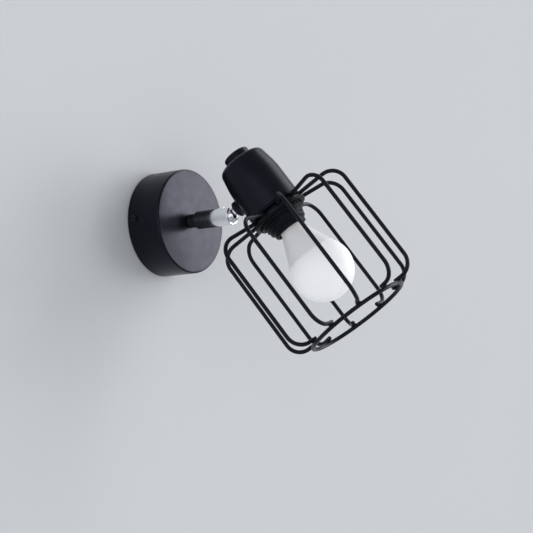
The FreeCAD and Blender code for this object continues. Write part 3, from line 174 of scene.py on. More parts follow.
# %% [markdown]
# ## Finishes
# The canopy, shell, knob and cage are steel with a satin black powder coat: fine orange peel,
# a soft gloss and a trace of blue. The skirt and shade ring are moulded plastic, duller and
# smoother. The nipple is blackened steel, and the socket and ball are polished chrome. The lamp
# has a white moulded body and an opal dome. The dome glows a little, in place of the light that
# passes through real opal plastic.

# %% Finishes of the pieces that show


def powder_coat():
    finish, tree, shader = new_finish("black powder coat", (0.0045, 0.0048, 0.0062), 0.36)
    tint(tree, shader, noise(tree, 2.4 * MM), (0.0038, 0.0041, 0.0054), (0.0054, 0.0057, 0.0073))
    uneven(tree, shader, 5 * MM, 0.28, 0.34)
    bump(tree, shader, noise(tree, 0.45 * MM, 2.0), 0.008 * MM)
    shader.inputs["Specular IOR Level"].default_value = 0.22
    shader.inputs["Specular Tint"].default_value = (0.64, 0.68, 1.0, 1)
    return finish


def moulded_plastic():
    finish, tree, shader = new_finish("black moulded plastic", (0.0032, 0.0032, 0.0038), 0.45)
    tint(tree, shader, noise(tree, 6 * MM), (0.0026, 0.0026, 0.0031), (0.0038, 0.0038, 0.0045))
    uneven(tree, shader, 3 * MM, 0.4, 0.52)
    bump(tree, shader, noise(tree, 0.25 * MM, 2.0), 0.006 * MM)
    shader.inputs["Specular IOR Level"].default_value = 0.14
    shader.inputs["Specular Tint"].default_value = (0.72, 0.77, 1.0, 1)
    return finish


def chrome():
    finish, tree, shader = new_finish("polished chrome", (0.78, 0.79, 0.83), 0.12, 1.0)
    uneven(tree, shader, 4 * MM, 0.09, 0.15, 4.0)
    bump(tree, shader, noise(tree, 1.2 * MM, 3.0, (1, 6, 1)), 0.0015 * MM)
    return finish


def blackened_steel():
    finish, tree, shader = new_finish("blackened steel", (0.012, 0.012, 0.014), 0.35, 0.6)
    tint(tree, shader, noise(tree, 1.5 * MM), (0.008, 0.008, 0.010), (0.02, 0.02, 0.022))
    uneven(tree, shader, 1.2 * MM, 0.28, 0.42)
    bump(tree, shader, noise(tree, 0.3 * MM), 0.006 * MM)
    return finish


def lamp_white():
    finish, tree, shader = new_finish("white lamp body", (0.92, 0.905, 0.92), 0.45)
    tint(tree, shader, noise(tree, 8 * MM), (0.91, 0.895, 0.91), (0.93, 0.915, 0.93))
    uneven(tree, shader, 4 * MM, 0.40, 0.50)
    bump(tree, shader, noise(tree, 0.5 * MM, 2.0), 0.004 * MM)
    shader.inputs["Subsurface Weight"].default_value = 0.05
    shader.inputs["Subsurface Radius"].default_value = (0.002, 0.002, 0.002)
    return finish


def opal():
    finish, tree, shader = new_finish("opal dome", (0.87, 0.87, 0.89), 0.48)
    tint(tree, shader, noise(tree, 10 * MM), (0.86, 0.86, 0.88), (0.88, 0.88, 0.90))
    uneven(tree, shader, 6 * MM, 0.45, 0.52)
    shader.inputs["Specular IOR Level"].default_value = 0.3
    bump(tree, shader, noise(tree, 0.6 * MM, 2.0), 0.003 * MM)
    shader.inputs["Subsurface Weight"].default_value = 0.25
    shader.inputs["Subsurface Radius"].default_value = (0.006, 0.006, 0.006)
    # Painted light: a faint glow stands in for the light that passes through the opal plastic from its lit side.
    shader.inputs["Emission Color"].default_value = (0.95, 0.96, 1.0, 1)
    shader.inputs["Emission Strength"].default_value = 0.16
    return finish


COAT = powder_coat()
PLASTIC = moulded_plastic()
CHROME = chrome()
BLACK_STEEL = blackened_steel()
LAMP_WHITE = lamp_white()
OPAL = opal()
SHOWN = (COAT, PLASTIC, CHROME, BLACK_STEEL, LAMP_WHITE, OPAL)
print("finishes that show:", [finish.name for finish in SHOWN])

# %% [markdown]
# The pieces inside the canopy and the lampholder show only from behind or when the light is
# taken apart, but each still gets a finish of its own: brushed or plated metal, brass, copper,
# glazed ceramic, plastic insulation and the lamp's boards.

# %% Finishes of the inner pieces


def plated_metal(name, colour, low, high, grain):
    """A brushed metal with grains of that size and a roughness between low and high."""
    finish, tree, shader = new_finish(name, colour, (low + high) / 2, 1.0)
    dark = tuple(part * 0.85 for part in colour)
    tint(tree, shader, noise(tree, 3 * MM), dark, colour)
    uneven(tree, shader, grain, low, high, 4.0, (1, 1, 8))
    bump(tree, shader, noise(tree, grain, 3.0, (1, 1, 8)), 0.004 * MM)
    return finish


def soft_plastic(name, colour, low, high):
    """A plastic, glaze or lacquer with a roughness between low and high."""
    finish, tree, shader = new_finish(name, colour, (low + high) / 2)
    dark = tuple(part * 0.88 for part in colour)
    tint(tree, shader, noise(tree, 4 * MM), dark, colour)
    uneven(tree, shader, 2 * MM, low, high)
    bump(tree, shader, noise(tree, 0.4 * MM), 0.005 * MM)
    return finish


FINISHES = {
    "black_powder_coat": COAT,
    "black_moulded_plastic": PLASTIC,
    "polished_chrome": CHROME,
    "blackened_steel": BLACK_STEEL,
    "lamp_body_white": LAMP_WHITE,
    "opal_dome": OPAL,
    "zinc_plated_steel": plated_metal("zinc plated steel", (0.56, 0.57, 0.60), 0.25, 0.4, 0.6 * MM),
    "brass": plated_metal("brass", (0.72, 0.53, 0.24), 0.2, 0.35, 0.5 * MM),
    "tinned_copper": plated_metal("tinned copper", (0.60, 0.57, 0.54), 0.25, 0.4, 0.5 * MM),
    "nickel_plated_cap": plated_metal("nickel plated cap", (0.66, 0.65, 0.62), 0.18, 0.3, 0.8 * MM),
    "white_polyamide": soft_plastic("white polyamide", (0.76, 0.76, 0.73), 0.4, 0.55),
    "lead_insulation": soft_plastic("lead insulation", (0.20, 0.10, 0.05), 0.4, 0.5),
    "earth_lead_insulation": soft_plastic("earth lead insulation", (0.22, 0.42, 0.07), 0.4, 0.5),
    "glazed_ceramic": soft_plastic("glazed ceramic", (0.80, 0.79, 0.75), 0.12, 0.22),
    "black_cap_glass": soft_plastic("black cap glass", (0.015, 0.015, 0.016), 0.08, 0.16),
    "white_solder_mask": soft_plastic("white solder mask", (0.80, 0.80, 0.78), 0.3, 0.4),
    "light_chip_phosphor": soft_plastic("light chip phosphor", (0.82, 0.66, 0.15), 0.4, 0.5),
    "driver_board_green": soft_plastic("driver board green", (0.04, 0.20, 0.09), 0.3, 0.4),
}
slot_of = {part["node"]: part["material_slot"] for part in frame["record"]["subparts"]}
for node_name, node_object in frame["nodes"].items():
    node_object.data.materials.clear()
    node_object.data.materials.append(FINISHES[slot_of[node_name]])
print("finishes in all:", len(FINISHES))

# %% [markdown]
# ## Mesh helpers
# Most of this light is turned, spun or drawn, so most pieces start as an outline of radius and
# height that is spun round an axis. A real edge is never knife sharp, so the outline's corners
# are rounded first: that small round is what catches the light. Holes and slots are cut with
# the exact Boolean solver, and the doubled corners that it can leave are merged.

# %% Mesh helpers
ON_AXIS = 1e-6                    # millimetres: a corner nearer than this lies on the axis
NEARLY_STRAIGHT = 165             # degrees: a blunter corner needs no round
EDGE_SHARE = 0.4                  # a round takes at most this share of an edge
SAME_PLACE = 0.001 * MM           # corners nearer than this are one corner


def rounded(outline, radius, steps=3):
    """Rounds the corners of an outline of (radius, height) points, in millimetres."""
    count = len(outline)
    result = []
    for index in range(count):
        corner = Vector(outline[index])
        before = Vector(outline[index - 1]) - corner
        after = Vector(outline[(index + 1) % count]) - corner
        turn = before.angle(after)
        if corner.x < ON_AXIS or turn > math.radians(NEARLY_STRAIGHT):
            result.append(tuple(corner))
            continue
        shorter = min(before.length, after.length)
        reach = min(radius / math.tan(turn / 2), shorter * EDGE_SHARE)
        first = corner + before.normalized() * reach
        last = corner + after.normalized() * reach
        for step in range(steps + 1):
            part = step / steps
            one = first.lerp(corner, part)
            two = corner.lerp(last, part)
            result.append(tuple(one.lerp(two, part)))
    return result


def arc_points(centre, radius, start, end, steps):
    """Points on an arc in an outline; the angles are in degrees from the radius direction."""
    points = []
    for step in range(steps + 1):
        angle = math.radians(start + (end - start) * step / steps)
        points.append((centre[0] + radius * math.cos(angle), centre[1] + radius * math.sin(angle)))
    return points


def spun_mesh(name, outline, segments=128):
    """Spins a closed outline, in millimetres, round the Z axis into a mesh in metres."""
    work = bmesh.new()
    rings = []
    for radius, height in outline:
        if radius < ON_AXIS:
            rings.append([work.verts.new((0, 0, height * MM))])
            continue
        ring = []
        for step in range(segments):
            angle = 2 * math.pi * step / segments
            place = (radius * math.cos(angle) * MM, radius * math.sin(angle) * MM, height * MM)
            ring.append(work.verts.new(place))
        rings.append(ring)
    for index, ring in enumerate(rings):
        after = rings[(index + 1) % len(rings)]
        if len(ring) == 1 and len(after) == 1:
            continue
        for step in range(segments):
            follow = (step + 1) % segments
            corners = [ring[step % len(ring)], ring[follow % len(ring)],
                       after[follow % len(after)], after[step % len(after)]]
            unique = [corner for place, corner in enumerate(corners) if corner not in corners[:place]]
            work.faces.new(unique)
    bmesh.ops.recalc_face_normals(work, faces=work.faces)
    mesh = bpy.data.meshes.new(name)
    work.to_mesh(mesh)
    work.free()
    return mesh


def smooth(mesh, angle=32):
    """Smooth shading, with edges sharper than the angle kept crisp."""
    mesh.shade_smooth()
    mesh.set_sharp_from_angle(angle=math.radians(angle))


def show(name, mesh, matrix, finish, body, replaced):
    """Moves a mesh to its place, gives it a finish and makes it stand for CAD nodes."""
    mesh.transform(matrix)
    if not mesh.materials:
        mesh.materials.append(finish)
    piece = bpy.data.objects.new(name, mesh)
    bpy.context.scene.collection.objects.link(piece)
    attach(piece, body)
    if replaced:
        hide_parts(*replaced)
    print(name, len(mesh.polygons), "faces")


def spun(name, outline, matrix, finish, body, replaced, edge=0.3, segments=128):
    """A finished turned piece from a plain outline."""
    mesh = spun_mesh(name, rounded(outline, edge) if edge else outline, segments)
    smooth(mesh)
    show(name, mesh, matrix, finish, body, replaced)


def cleaned(mesh):
    """Merges corners that lie on each other, which a cut can leave behind."""
    work = bmesh.new()
    work.from_mesh(mesh)
    bmesh.ops.remove_doubles(work, verts=work.verts, dist=SAME_PLACE)
    bmesh.ops.dissolve_degenerate(work, edges=work.edges, dist=SAME_PLACE)
    work.to_mesh(mesh)
    work.free()
    return mesh


def carved(mesh, tools, operation="DIFFERENCE"):
    """Cuts tool meshes out of a mesh, or joins them to it, and returns the new mesh."""
    base = bpy.data.objects.new("carving", mesh)
    bpy.context.scene.collection.objects.link(base)
    helpers = []
    for tool in tools:
        helper = bpy.data.objects.new("tool", tool)
        bpy.context.scene.collection.objects.link(helper)
        helpers.append(helper)
        step = base.modifiers.new("carve", "BOOLEAN")
        step.operation = operation
        step.solver = "EXACT"
        step.object = helper
    graph = bpy.context.evaluated_depsgraph_get()
    result = bpy.data.meshes.new_from_object(base.evaluated_get(graph))
    for helper in helpers + [base]:
        bpy.data.objects.remove(helper)
    return cleaned(result)


def box_mesh(low, high):
    """A plain box between two corners, in millimetres, for use as a tool."""
    work = bmesh.new()
    bmesh.ops.create_cube(work, size=1)
    size = [(b - a) * MM for a, b in zip(low, high)]
    middle = [(a + b) / 2 * MM for a, b in zip(low, high)]
    bmesh.ops.scale(work, vec=size, verts=work.verts)
    bmesh.ops.translate(work, vec=middle, verts=work.verts)
    mesh = bpy.data.meshes.new("box")
    work.to_mesh(mesh)
    work.free()
    return mesh


# %% [markdown]
# ## Geometry Nodes helpers
# A small layer keeps the trees readable: one call adds a node, sets its fixed values and links
# its inputs. A tree is run on a helper object and its result is taken as a plain mesh.

# %% Geometry Nodes helpers


class Tree:
    """A node tree with named inputs and one geometry output."""

    def __init__(self, name):
        self.group = bpy.data.node_groups.new(name, "GeometryNodeTree")
        self.group.interface.new_socket("Geometry", in_out="OUTPUT", socket_type="NodeSocketGeometry")
        self.group.interface.new_socket("Geometry", in_out="INPUT", socket_type="NodeSocketGeometry")
        self.source = self.group.nodes.new("NodeGroupInput")
        self.sink = self.group.nodes.new("NodeGroupOutput")
        self.names = {}

    def size(self, name, kind="NodeSocketFloat"):
        """Adds a named input and returns its socket."""
        entry = self.group.interface.new_socket(name, in_out="INPUT", socket_type=kind)
        self.names[name] = entry.identifier
        return self.source.outputs[name]

    def add(self, kind, inputs=None, **settings):
        """Adds a node; inputs maps a socket's name or number to a value or another socket."""
        item = self.group.nodes.new(kind)
        for key, value in settings.items():
            setattr(item, key, value)
        for key, value in (inputs or {}).items():
            socket = item.inputs[key]
            if isinstance(value, bpy.types.NodeSocket):
                self.group.links.new(value, socket)
            else:
                socket.default_value = value
        return item

    def maths(self, operation, first, second=0.0):
        """One arithmetic step; returns its result."""
        return self.add("ShaderNodeMath", {0: first, 1: second}, operation=operation).outputs[0]

    def point(self, across, along, up):
        """A vector from three values."""
        return self.add("ShaderNodeCombineXYZ", {0: across, 1: along, 2: up}).outputs[0]

    def finish(self, geometry, material):
        """Realizes the instances, sets the material and closes the tree."""
        real = self.add("GeometryNodeRealizeInstances", {"Geometry": geometry})
        done = self.add("GeometryNodeSetMaterial",
                        {"Geometry": real.outputs[0], "Material": material})
        self.group.links.new(done.outputs[0], self.sink.inputs[0])


def grown(tree, values, base=None):
    """Runs a tree with the given input values and returns a plain mesh."""
    holder = bpy.data.objects.new("grower", base or bpy.data.meshes.new("empty"))
    bpy.context.scene.collection.objects.link(holder)
    modifier = holder.modifiers.new("grow", "NODES")
    modifier.node_group = tree.group
    for name, value in values.items():
        modifier[tree.names[name]] = value
    graph = bpy.context.evaluated_depsgraph_get()
    mesh = bpy.data.meshes.new_from_object(holder.evaluated_get(graph))
    holder.modifiers.remove(modifier)
    bpy.data.objects.remove(holder)
    return mesh


def around(tree, geometry, count, phase=0.0):
    """Repeats a geometry round the Z axis, count times."""
    points = tree.add("GeometryNodePoints", {"Count": count})
    index = tree.add("GeometryNodeInputIndex").outputs[0]
    step = tree.maths("DIVIDE", 2 * math.pi, count)
    angle = tree.maths("ADD", tree.maths("MULTIPLY", index, step), phase)
    turn = tree.point(0.0, 0.0, angle)
    copies = tree.add("GeometryNodeInstanceOnPoints",
                      {"Points": points.outputs[0], "Instance": geometry, "Rotation": turn})
    return copies.outputs[0]


# %% [markdown]
# ## Canopy
# A spun steel cup, open towards the wall. Its front edge has a small even round, and two
# screws at its sides fix it to the bracket. It is spun from its outline, wall and all, and
# the screw holes are cut through it.

# %% Canopy
FIT = 0.05                        # the gap between pieces that fit together, in millimetres
CANOPY_RADIUS = 37.5
CANOPY_DEPTH = 27.6
CANOPY_WALL = 1.2
NECK_RADIUS = 5.0
SIDE_SCREW_HEIGHT = 6.0
SIDE_HOLE_RADIUS = 1.55
EDGE_ROUND = 1.5


def make_canopy():
    rim_edge = 0.3
    inner = CANOPY_RADIUS - CANOPY_WALL
    inner_face = CANOPY_DEPTH - CANOPY_WALL
    neck_hole = NECK_RADIUS + FIT
    outer_corner = (CANOPY_RADIUS - EDGE_ROUND, CANOPY_DEPTH - EDGE_ROUND)
    outline = [(neck_hole, CANOPY_DEPTH)]
    outline += arc_points(outer_corner, EDGE_ROUND, 90, 0, 8)
    outline += [(CANOPY_RADIUS, rim_edge), (CANOPY_RADIUS - rim_edge, 0), (inner, 0)]
    outline += [(inner, inner_face - 0.9), (inner - 0.3, inner_face - 0.3)]
    outline += [(inner - 0.9, inner_face), (neck_hole, inner_face)]
    mesh = spun_mesh("canopy", outline, 192)
    reach = 50                    # well past both sides
    hole_outline = [(0, -reach), (SIDE_HOLE_RADIUS, -reach), (SIDE_HOLE_RADIUS, reach), (0, reach)]
    hole = spun_mesh("hole", hole_outline, 32)
    across = Matrix.Translation((0, 0, SIDE_SCREW_HEIGHT * MM)) @ Matrix.Rotation(math.pi / 2, 4, "Y")
    hole.transform(across)
    mesh = carved(mesh, [hole])
    smooth(mesh)
    show("canopy_shell", mesh, WALL, COAT, "canopy", ["canopy_cup"])


make_canopy()

# %% [markdown]
# ## Threads
# The nipple, the ball's stud and the lampholder's skirt carry threads. A thread is a ridge that
# winds round a core, so a spiral curve with a small profile makes it, and the core is a turned
# piece inside the same mesh. The spiral's height, radius and turns are the tree's inputs.

# %% Thread tree


def thread_tree(finish):
    """Winds a ridge up round the axis and joins it to the core that comes in."""
    tree = Tree("wound thread")
    radius = tree.size("radius")
    start = tree.size("start")
    length = tree.size("length")
    turns = tree.size("turns")
    ridge = tree.size("ridge")
    spiral = tree.add("GeometryNodeCurveSpiral",
                      {"Resolution": 64, "Rotations": turns, "Start Radius": radius,
                       "End Radius": radius, "Height": length})
    moved = tree.add("GeometryNodeTransform",
                     {"Geometry": spiral.outputs[0], "Translation": tree.point(0.0, 0.0, start)})
    profile = tree.add("GeometryNodeCurvePrimitiveCircle", {"Resolution": 8, "Radius": ridge})
    swept = tree.add("GeometryNodeCurveToMesh",
                     {"Curve": moved.outputs[0], "Profile Curve": profile.outputs[0],
                      "Fill Caps": True})
    joined = tree.add("GeometryNodeJoinGeometry", {0: swept.outputs[0]})
    tree.group.links.new(tree.source.outputs[0], joined.inputs[0])
    tree.finish(joined.outputs[0], finish)
    return tree


def threaded(base, finish, radius, start, length, pitch, ridge):
    """Winds a thread round a turned mesh; sizes in millimetres."""
    values = {"radius": radius * MM, "start": start * MM, "length": length * MM,
              "turns": length / pitch, "ridge": ridge * MM}
    return grown(thread_tree(finish), values, base)


# %% Nipple with its thread
NIPPLE_BACK = 18.0
NIPPLE_THREAD_END = 33.35
NIPPLE_PITCH = 1.0


def make_nipple():
    bore = 3.0
    root = 4.7
    neck = 4.95
    flange = 5.45
    flange_back = 40.05
    flange_front = 41.6
    run_out = 0.4
    outline = [(bore, NIPPLE_BACK), (root, NIPPLE_BACK), (root, NIPPLE_THREAD_END),
               (neck, NIPPLE_THREAD_END), (neck, flange_back), (flange, flange_back),
               (flange, flange_front), (bore, flange_front)]
    core = spun_mesh("nipple", rounded(outline, 0.15), 64)
    length = NIPPLE_THREAD_END - NIPPLE_BACK - 2 * run_out
    mesh = threaded(core, BLACK_STEEL, root - 0.08, NIPPLE_BACK + run_out, length,
                    NIPPLE_PITCH, 0.36)
    smooth(mesh, 50)
    show("threaded_nipple", mesh, WALL, BLACK_STEEL, "canopy", ["arm_nipple"])


make_nipple()

# %% [markdown]
# ## Chrome socket and ball
# The socket is a turned tube with a chamfered back, a rolled lip that keeps the ball in, and a
# slot in its top that the stud can fold into. Chrome shows every edge, so the slot is cut from
# the finished tube and the ball is turned with many segments.

# %% Socket
BALL_DISTANCE = -ball_centre.y / MM
BALL_RADIUS = 5.5
SOCKET_RADIUS = 6.5
SOCKET_BORE = 5.0
SOCKET_CHAMFER = 1.2
SPRING_ROOM_BACK = 40.0
SOCKET_BACK = NIPPLE_THREAD_END + FIT
SOCKET_LIP = 1.5
SLOT_WIDTH = 6.8
SLOT_BACK = 6.0


def make_socket():
    front = BALL_DISTANCE + SOCKET_LIP
    front_edge = 0.4
    seat = BALL_RADIUS + FIT
    lip = math.sqrt(seat ** 2 - SOCKET_LIP ** 2)
    outline = [(SOCKET_BORE, SOCKET_BACK), (SOCKET_RADIUS - SOCKET_CHAMFER, SOCKET_BACK),
               (SOCKET_RADIUS, SOCKET_BACK + SOCKET_CHAMFER), (SOCKET_RADIUS, front - front_edge),
               (SOCKET_RADIUS - front_edge, front), (lip, front), (seat, BALL_DISTANCE),
               (seat, SPRING_ROOM_BACK), (SOCKET_BORE, SPRING_ROOM_BACK)]
    mesh = spun_mesh("socket", rounded(outline, 0.12), 128)
    half = SLOT_WIDTH / 2
    round_end = BALL_DISTANCE - SLOT_BACK + half
    above = 12                    # well past the tube's top
    way = box_mesh((-half, 0, round_end), (half, above, front + 2))
    end = spun_mesh("end", [(0, 0), (half, 0), (half, above), (0, above)], 48)
    end.transform(Matrix.Translation((0, 0, round_end * MM)) @ Matrix.Rotation(-math.pi / 2, 4, "X"))
    mesh = carved(mesh, [way, end])
    smooth(mesh)
    show("chrome_socket", mesh, WALL, CHROME, "arm", ["swivel_socket"])


make_socket()

# %% Ball and its stud


def make_ball():
    mouth = 3.6                   # the bore flares to this where the leads enter
    neck = 3.3
    stud = 2.85
    bore = 2.0
    stud_end = 17.4
    mouth_height = -math.sqrt(BALL_RADIUS ** 2 - mouth ** 2)
    neck_height = math.sqrt(BALL_RADIUS ** 2 - neck ** 2)
    start = math.degrees(math.atan2(mouth_height, mouth))
    end = math.degrees(math.atan2(neck_height, neck))
    outline = arc_points((0, 0), BALL_RADIUS, start, end, 40)
    outline += [(neck, 6.8), (3.1, 6.85), (stud, 7.1), (stud, stud_end - 0.2), (bore, stud_end)]
    outline += [(bore, mouth + mouth_height)]
    core = spun_mesh("ball", outline, 96)
    mesh = threaded(core, CHROME, stud - 0.01, 7.4, 9.6, 0.75, 0.24)
    smooth(mesh, 40)
    show("chrome_ball_and_stud", mesh, BALL, CHROME, "ball", ["ball_stud"])


make_ball()

# %% [markdown]
# ## Lampholder shell
# A drawn steel cup with a soft shoulder, slightly tapered towards the top. The boss at its side
# turns on the ball's stud. The cup is spun and the boss is joined to it with a flared foot, as
# a pressed or welded boss has, and the stud's bore is then cut through both.

# %% Shell
SHELL_RADIUS = 19.65
SHELL_NECK = 17.5
SHELL_WALL = 1.5
SHELL_TOP = -24.4
SHELL_TAPER_END = -7.0
SHELL_SKIRT = 17.0
SHOULDER = 4.2
SHELL_EDGE = 0.35
TIE_HOLE = 5.02
BOSS_RADIUS = 6.0
BOSS_FOOT = 6.9
STUD_BORE = 3.15
STUD_REACH = (head_origin - ball_centre).length / MM


def make_shell():
    edge = (SHELL_NECK - SHOULDER, SHELL_TOP + SHOULDER)
    inner = SHELL_RADIUS - SHELL_WALL
    outline = [(TIE_HOLE, SHELL_TOP)]
    outline += arc_points(edge, SHOULDER, -90, -6, 10)
    outline += [(18.3, -16.0), (19.1, -11.5), (SHELL_RADIUS, SHELL_TAPER_END + 1)]
    outline += [(SHELL_RADIUS, SHELL_SKIRT - SHELL_EDGE), (SHELL_RADIUS - SHELL_EDGE, SHELL_SKIRT)]
    outline += [(inner, SHELL_SKIRT), (inner, SHELL_TAPER_END)]
    outline += arc_points(edge, SHOULDER - SHELL_WALL, 0, -90, 8)
    outline += [(TIE_HOLE, SHELL_TOP + SHELL_WALL)]
    shell = spun_mesh("shell", outline, 160)
    boss_start = 6.9
    boss_end = 13.6
    boss_edge = 0.4
    boss_outline = [(0, boss_start), (BOSS_RADIUS - boss_edge, boss_start),
                    (BOSS_RADIUS, boss_start + boss_edge), (BOSS_RADIUS, boss_start + 2.6),
                    (BOSS_RADIUS + 0.25, boss_start + 3.6), (BOSS_FOOT, boss_start + 4.6),
                    (BOSS_FOOT, boss_end - 1.6), (BOSS_RADIUS, boss_end - 1.2),
                    (BOSS_RADIUS, boss_end), (0, boss_end)]
    boss = spun_mesh("boss", boss_outline, 96)
    along = Matrix.Translation((-STUD_REACH * MM, 0, 0)) @ Matrix.Rotation(math.pi / 2, 4, "Y")
    boss.transform(along)
    mesh = carved(shell, [boss], "UNION")
    bore = spun_mesh("bore", [(0, 0), (STUD_BORE, 0), (STUD_BORE, 16), (0, 16)], 64)
    bore.transform(along)
    mesh = carved(mesh, [bore])
    smooth(mesh, 28)
    show("shell_with_boss", mesh, HEAD, COAT, "head", ["holder_shell"])


make_shell()

# %% Top knob
KNOB_RADIUS = 9.5
KNOB_HEIGHT = 5.9
KNOB_ROUND = 1.4
KNOB_BORE_DEPTH = 4.0


def make_knob():
    top = SHELL_TOP - KNOB_HEIGHT
    bore_end = SHELL_TOP - KNOB_BORE_DEPTH
    corner = (KNOB_RADIUS - KNOB_ROUND, top + KNOB_ROUND)
    outline = [(0, top)] + arc_points(corner, KNOB_ROUND, -90, 0, 8)
    outline += [(KNOB_RADIUS, SHELL_TOP - SHELL_EDGE), (KNOB_RADIUS - SHELL_EDGE, SHELL_TOP)]
    outline += [(TIE_HOLE, SHELL_TOP), (TIE_HOLE, bore_end), (0, bore_end)]
    mesh = spun_mesh("knob", outline, 96)
    smooth(mesh)
    show("knob_cap", mesh, HEAD, COAT, "head", ["top_knob"])


make_knob()

# %% [markdown]
# ## Lampholder skirt and shade ring
# The skirt is one plastic moulding: a flange inside the shell with a lip below its edge, a
# shoulder that the cage's collar seats on, a coarse thread, and a stepped and ribbed nose round
# the lamp. The shade ring runs on the thread. Its grip has even ribs, copied round the axis.

# %% Skirt
COLLAR_TOP = 21.6
COLLAR_THICKNESS = 1.5
SKIRT_PITCH = 2.0
SKIRT_TOP = 7.0
SKIRT_THREAD_END = 30.2
NECK_END = 33.2
NOSE_TOP = 33.8
NOSE_END = 36.6


def make_skirt():
    bore = 10.32
    barrel = 13.2
    flange = SHELL_RADIUS - SHELL_WALL - 0.2
    lip = SHELL_RADIUS - 0.25
    lip_top = SHELL_SKIRT + FIT
    lip_bottom = lip_top + 1.3
    flange_top = lip_top - 2.8
    shoulder = 17.0
    shoulder_top = COLLAR_TOP - 2.0
    root = 14.6
    neck = 13.9
    nose = 12.1
    outline = [(bore, SKIRT_TOP), (barrel, SKIRT_TOP), (barrel, flange_top), (flange, flange_top)]
    outline += [(flange, lip_top), (lip, lip_top), (lip, lip_bottom), (root, lip_bottom)]
    outline += [(root, shoulder_top), (shoulder, shoulder_top), (shoulder, COLLAR_TOP)]
    outline += [(root, COLLAR_TOP), (root, SKIRT_THREAD_END), (neck, SKIRT_THREAD_END)]
    outline += [(neck, NECK_END), (nose, NOSE_TOP), (nose, NOSE_END), (bore, NOSE_END)]
    core = spun_mesh("skirt", rounded(outline, 0.3), 128)
    mesh = threaded(core, PLASTIC, root - 0.02, COLLAR_TOP + 0.8, 7.6, SKIRT_PITCH, 0.6)
    mesh = threaded(mesh, PLASTIC, neck - 0.1, SKIRT_THREAD_END + 0.8, 1.8, SKIRT_PITCH, 0.5)
    mesh = threaded(mesh, PLASTIC, nose - 0.1, NOSE_TOP + 0.6, 1.6, SKIRT_PITCH, 0.45)
    smooth(mesh, 40)
    show("threaded_skirt", mesh, HEAD, PLASTIC, "head",
         ["lampholder_skirt"])


make_skirt()

# %% Shade ring
RING_TOP = COLLAR_TOP + COLLAR_THICKNESS + FIT
RING_FLANGE_RADIUS = 20.4
RING_FLANGE_THICKNESS = 1.2
RING_HEIGHT = 3.5
GRIP_RADIUS = 17.8
GRIP_RIBS = 36


def rib_tree(finish):
    """Copies one upright rib round the axis and joins the copies to the ring."""
    tree = Tree("grip ribs")
    count = tree.size("count", "NodeSocketInt")
    ring = tree.size("ring radius")
    rib = tree.size("rib radius")
    length = tree.size("rib length")
    height = tree.size("rib middle")
    bar = tree.add("GeometryNodeMeshCylinder", {"Vertices": 12, "Radius": rib, "Depth": length})
    moved = tree.add("GeometryNodeTransform", {"Geometry": bar.outputs["Mesh"],
                                               "Translation": tree.point(ring, 0.0, height)})
    copies = around(tree, moved.outputs[0], count)
    joined = tree.add("GeometryNodeJoinGeometry", {0: copies})
    tree.group.links.new(tree.source.outputs[0], joined.inputs[0])
    tree.finish(joined.outputs[0], finish)
    return tree


def make_shade_ring():
    bore = 15.3
    flange_end = RING_TOP + RING_FLANGE_THICKNESS
    bottom = RING_TOP + RING_HEIGHT
    grip = GRIP_RADIUS - 0.7
    outline = [(bore, RING_TOP), (RING_FLANGE_RADIUS, RING_TOP), (RING_FLANGE_RADIUS, flange_end),
               (grip, flange_end), (grip, bottom), (bore, bottom)]
    base = spun_mesh("ring", rounded(outline, 0.3), 128)
    length = bottom - flange_end - 0.2
    values = {"count": GRIP_RIBS, "ring radius": (GRIP_RADIUS - 0.75) * MM, "rib radius": 0.72 * MM,
              "rib length": length * MM, "rib middle": (flange_end + length / 2) * MM}
    mesh = grown(rib_tree(PLASTIC), values, base)
    smooth(mesh, 40)
    show("ribbed_shade_ring", mesh, HEAD, PLASTIC, "clamp_ring",
         ["shade_ring"])


make_shade_ring()

# %% [markdown]
# ## Cage
# Ten equal wires run out from the collar, down and back in to the bottom ring. Each is a bent
# round bar, so the tree draws one path through four corners, fillets the two bends, sweeps a
# circle along it and copies it round the axis. A bead of weld joins each wire to the ring.

# %% Cage wires
WIRES = 10
WIRE_RADIUS = 1.45
CAGE_RADIUS = 51.4
RING_RADIUS = 37.3
RING_HEIGHT_ON_AXIS = 112.3
WIRE_PHASE = 57.6


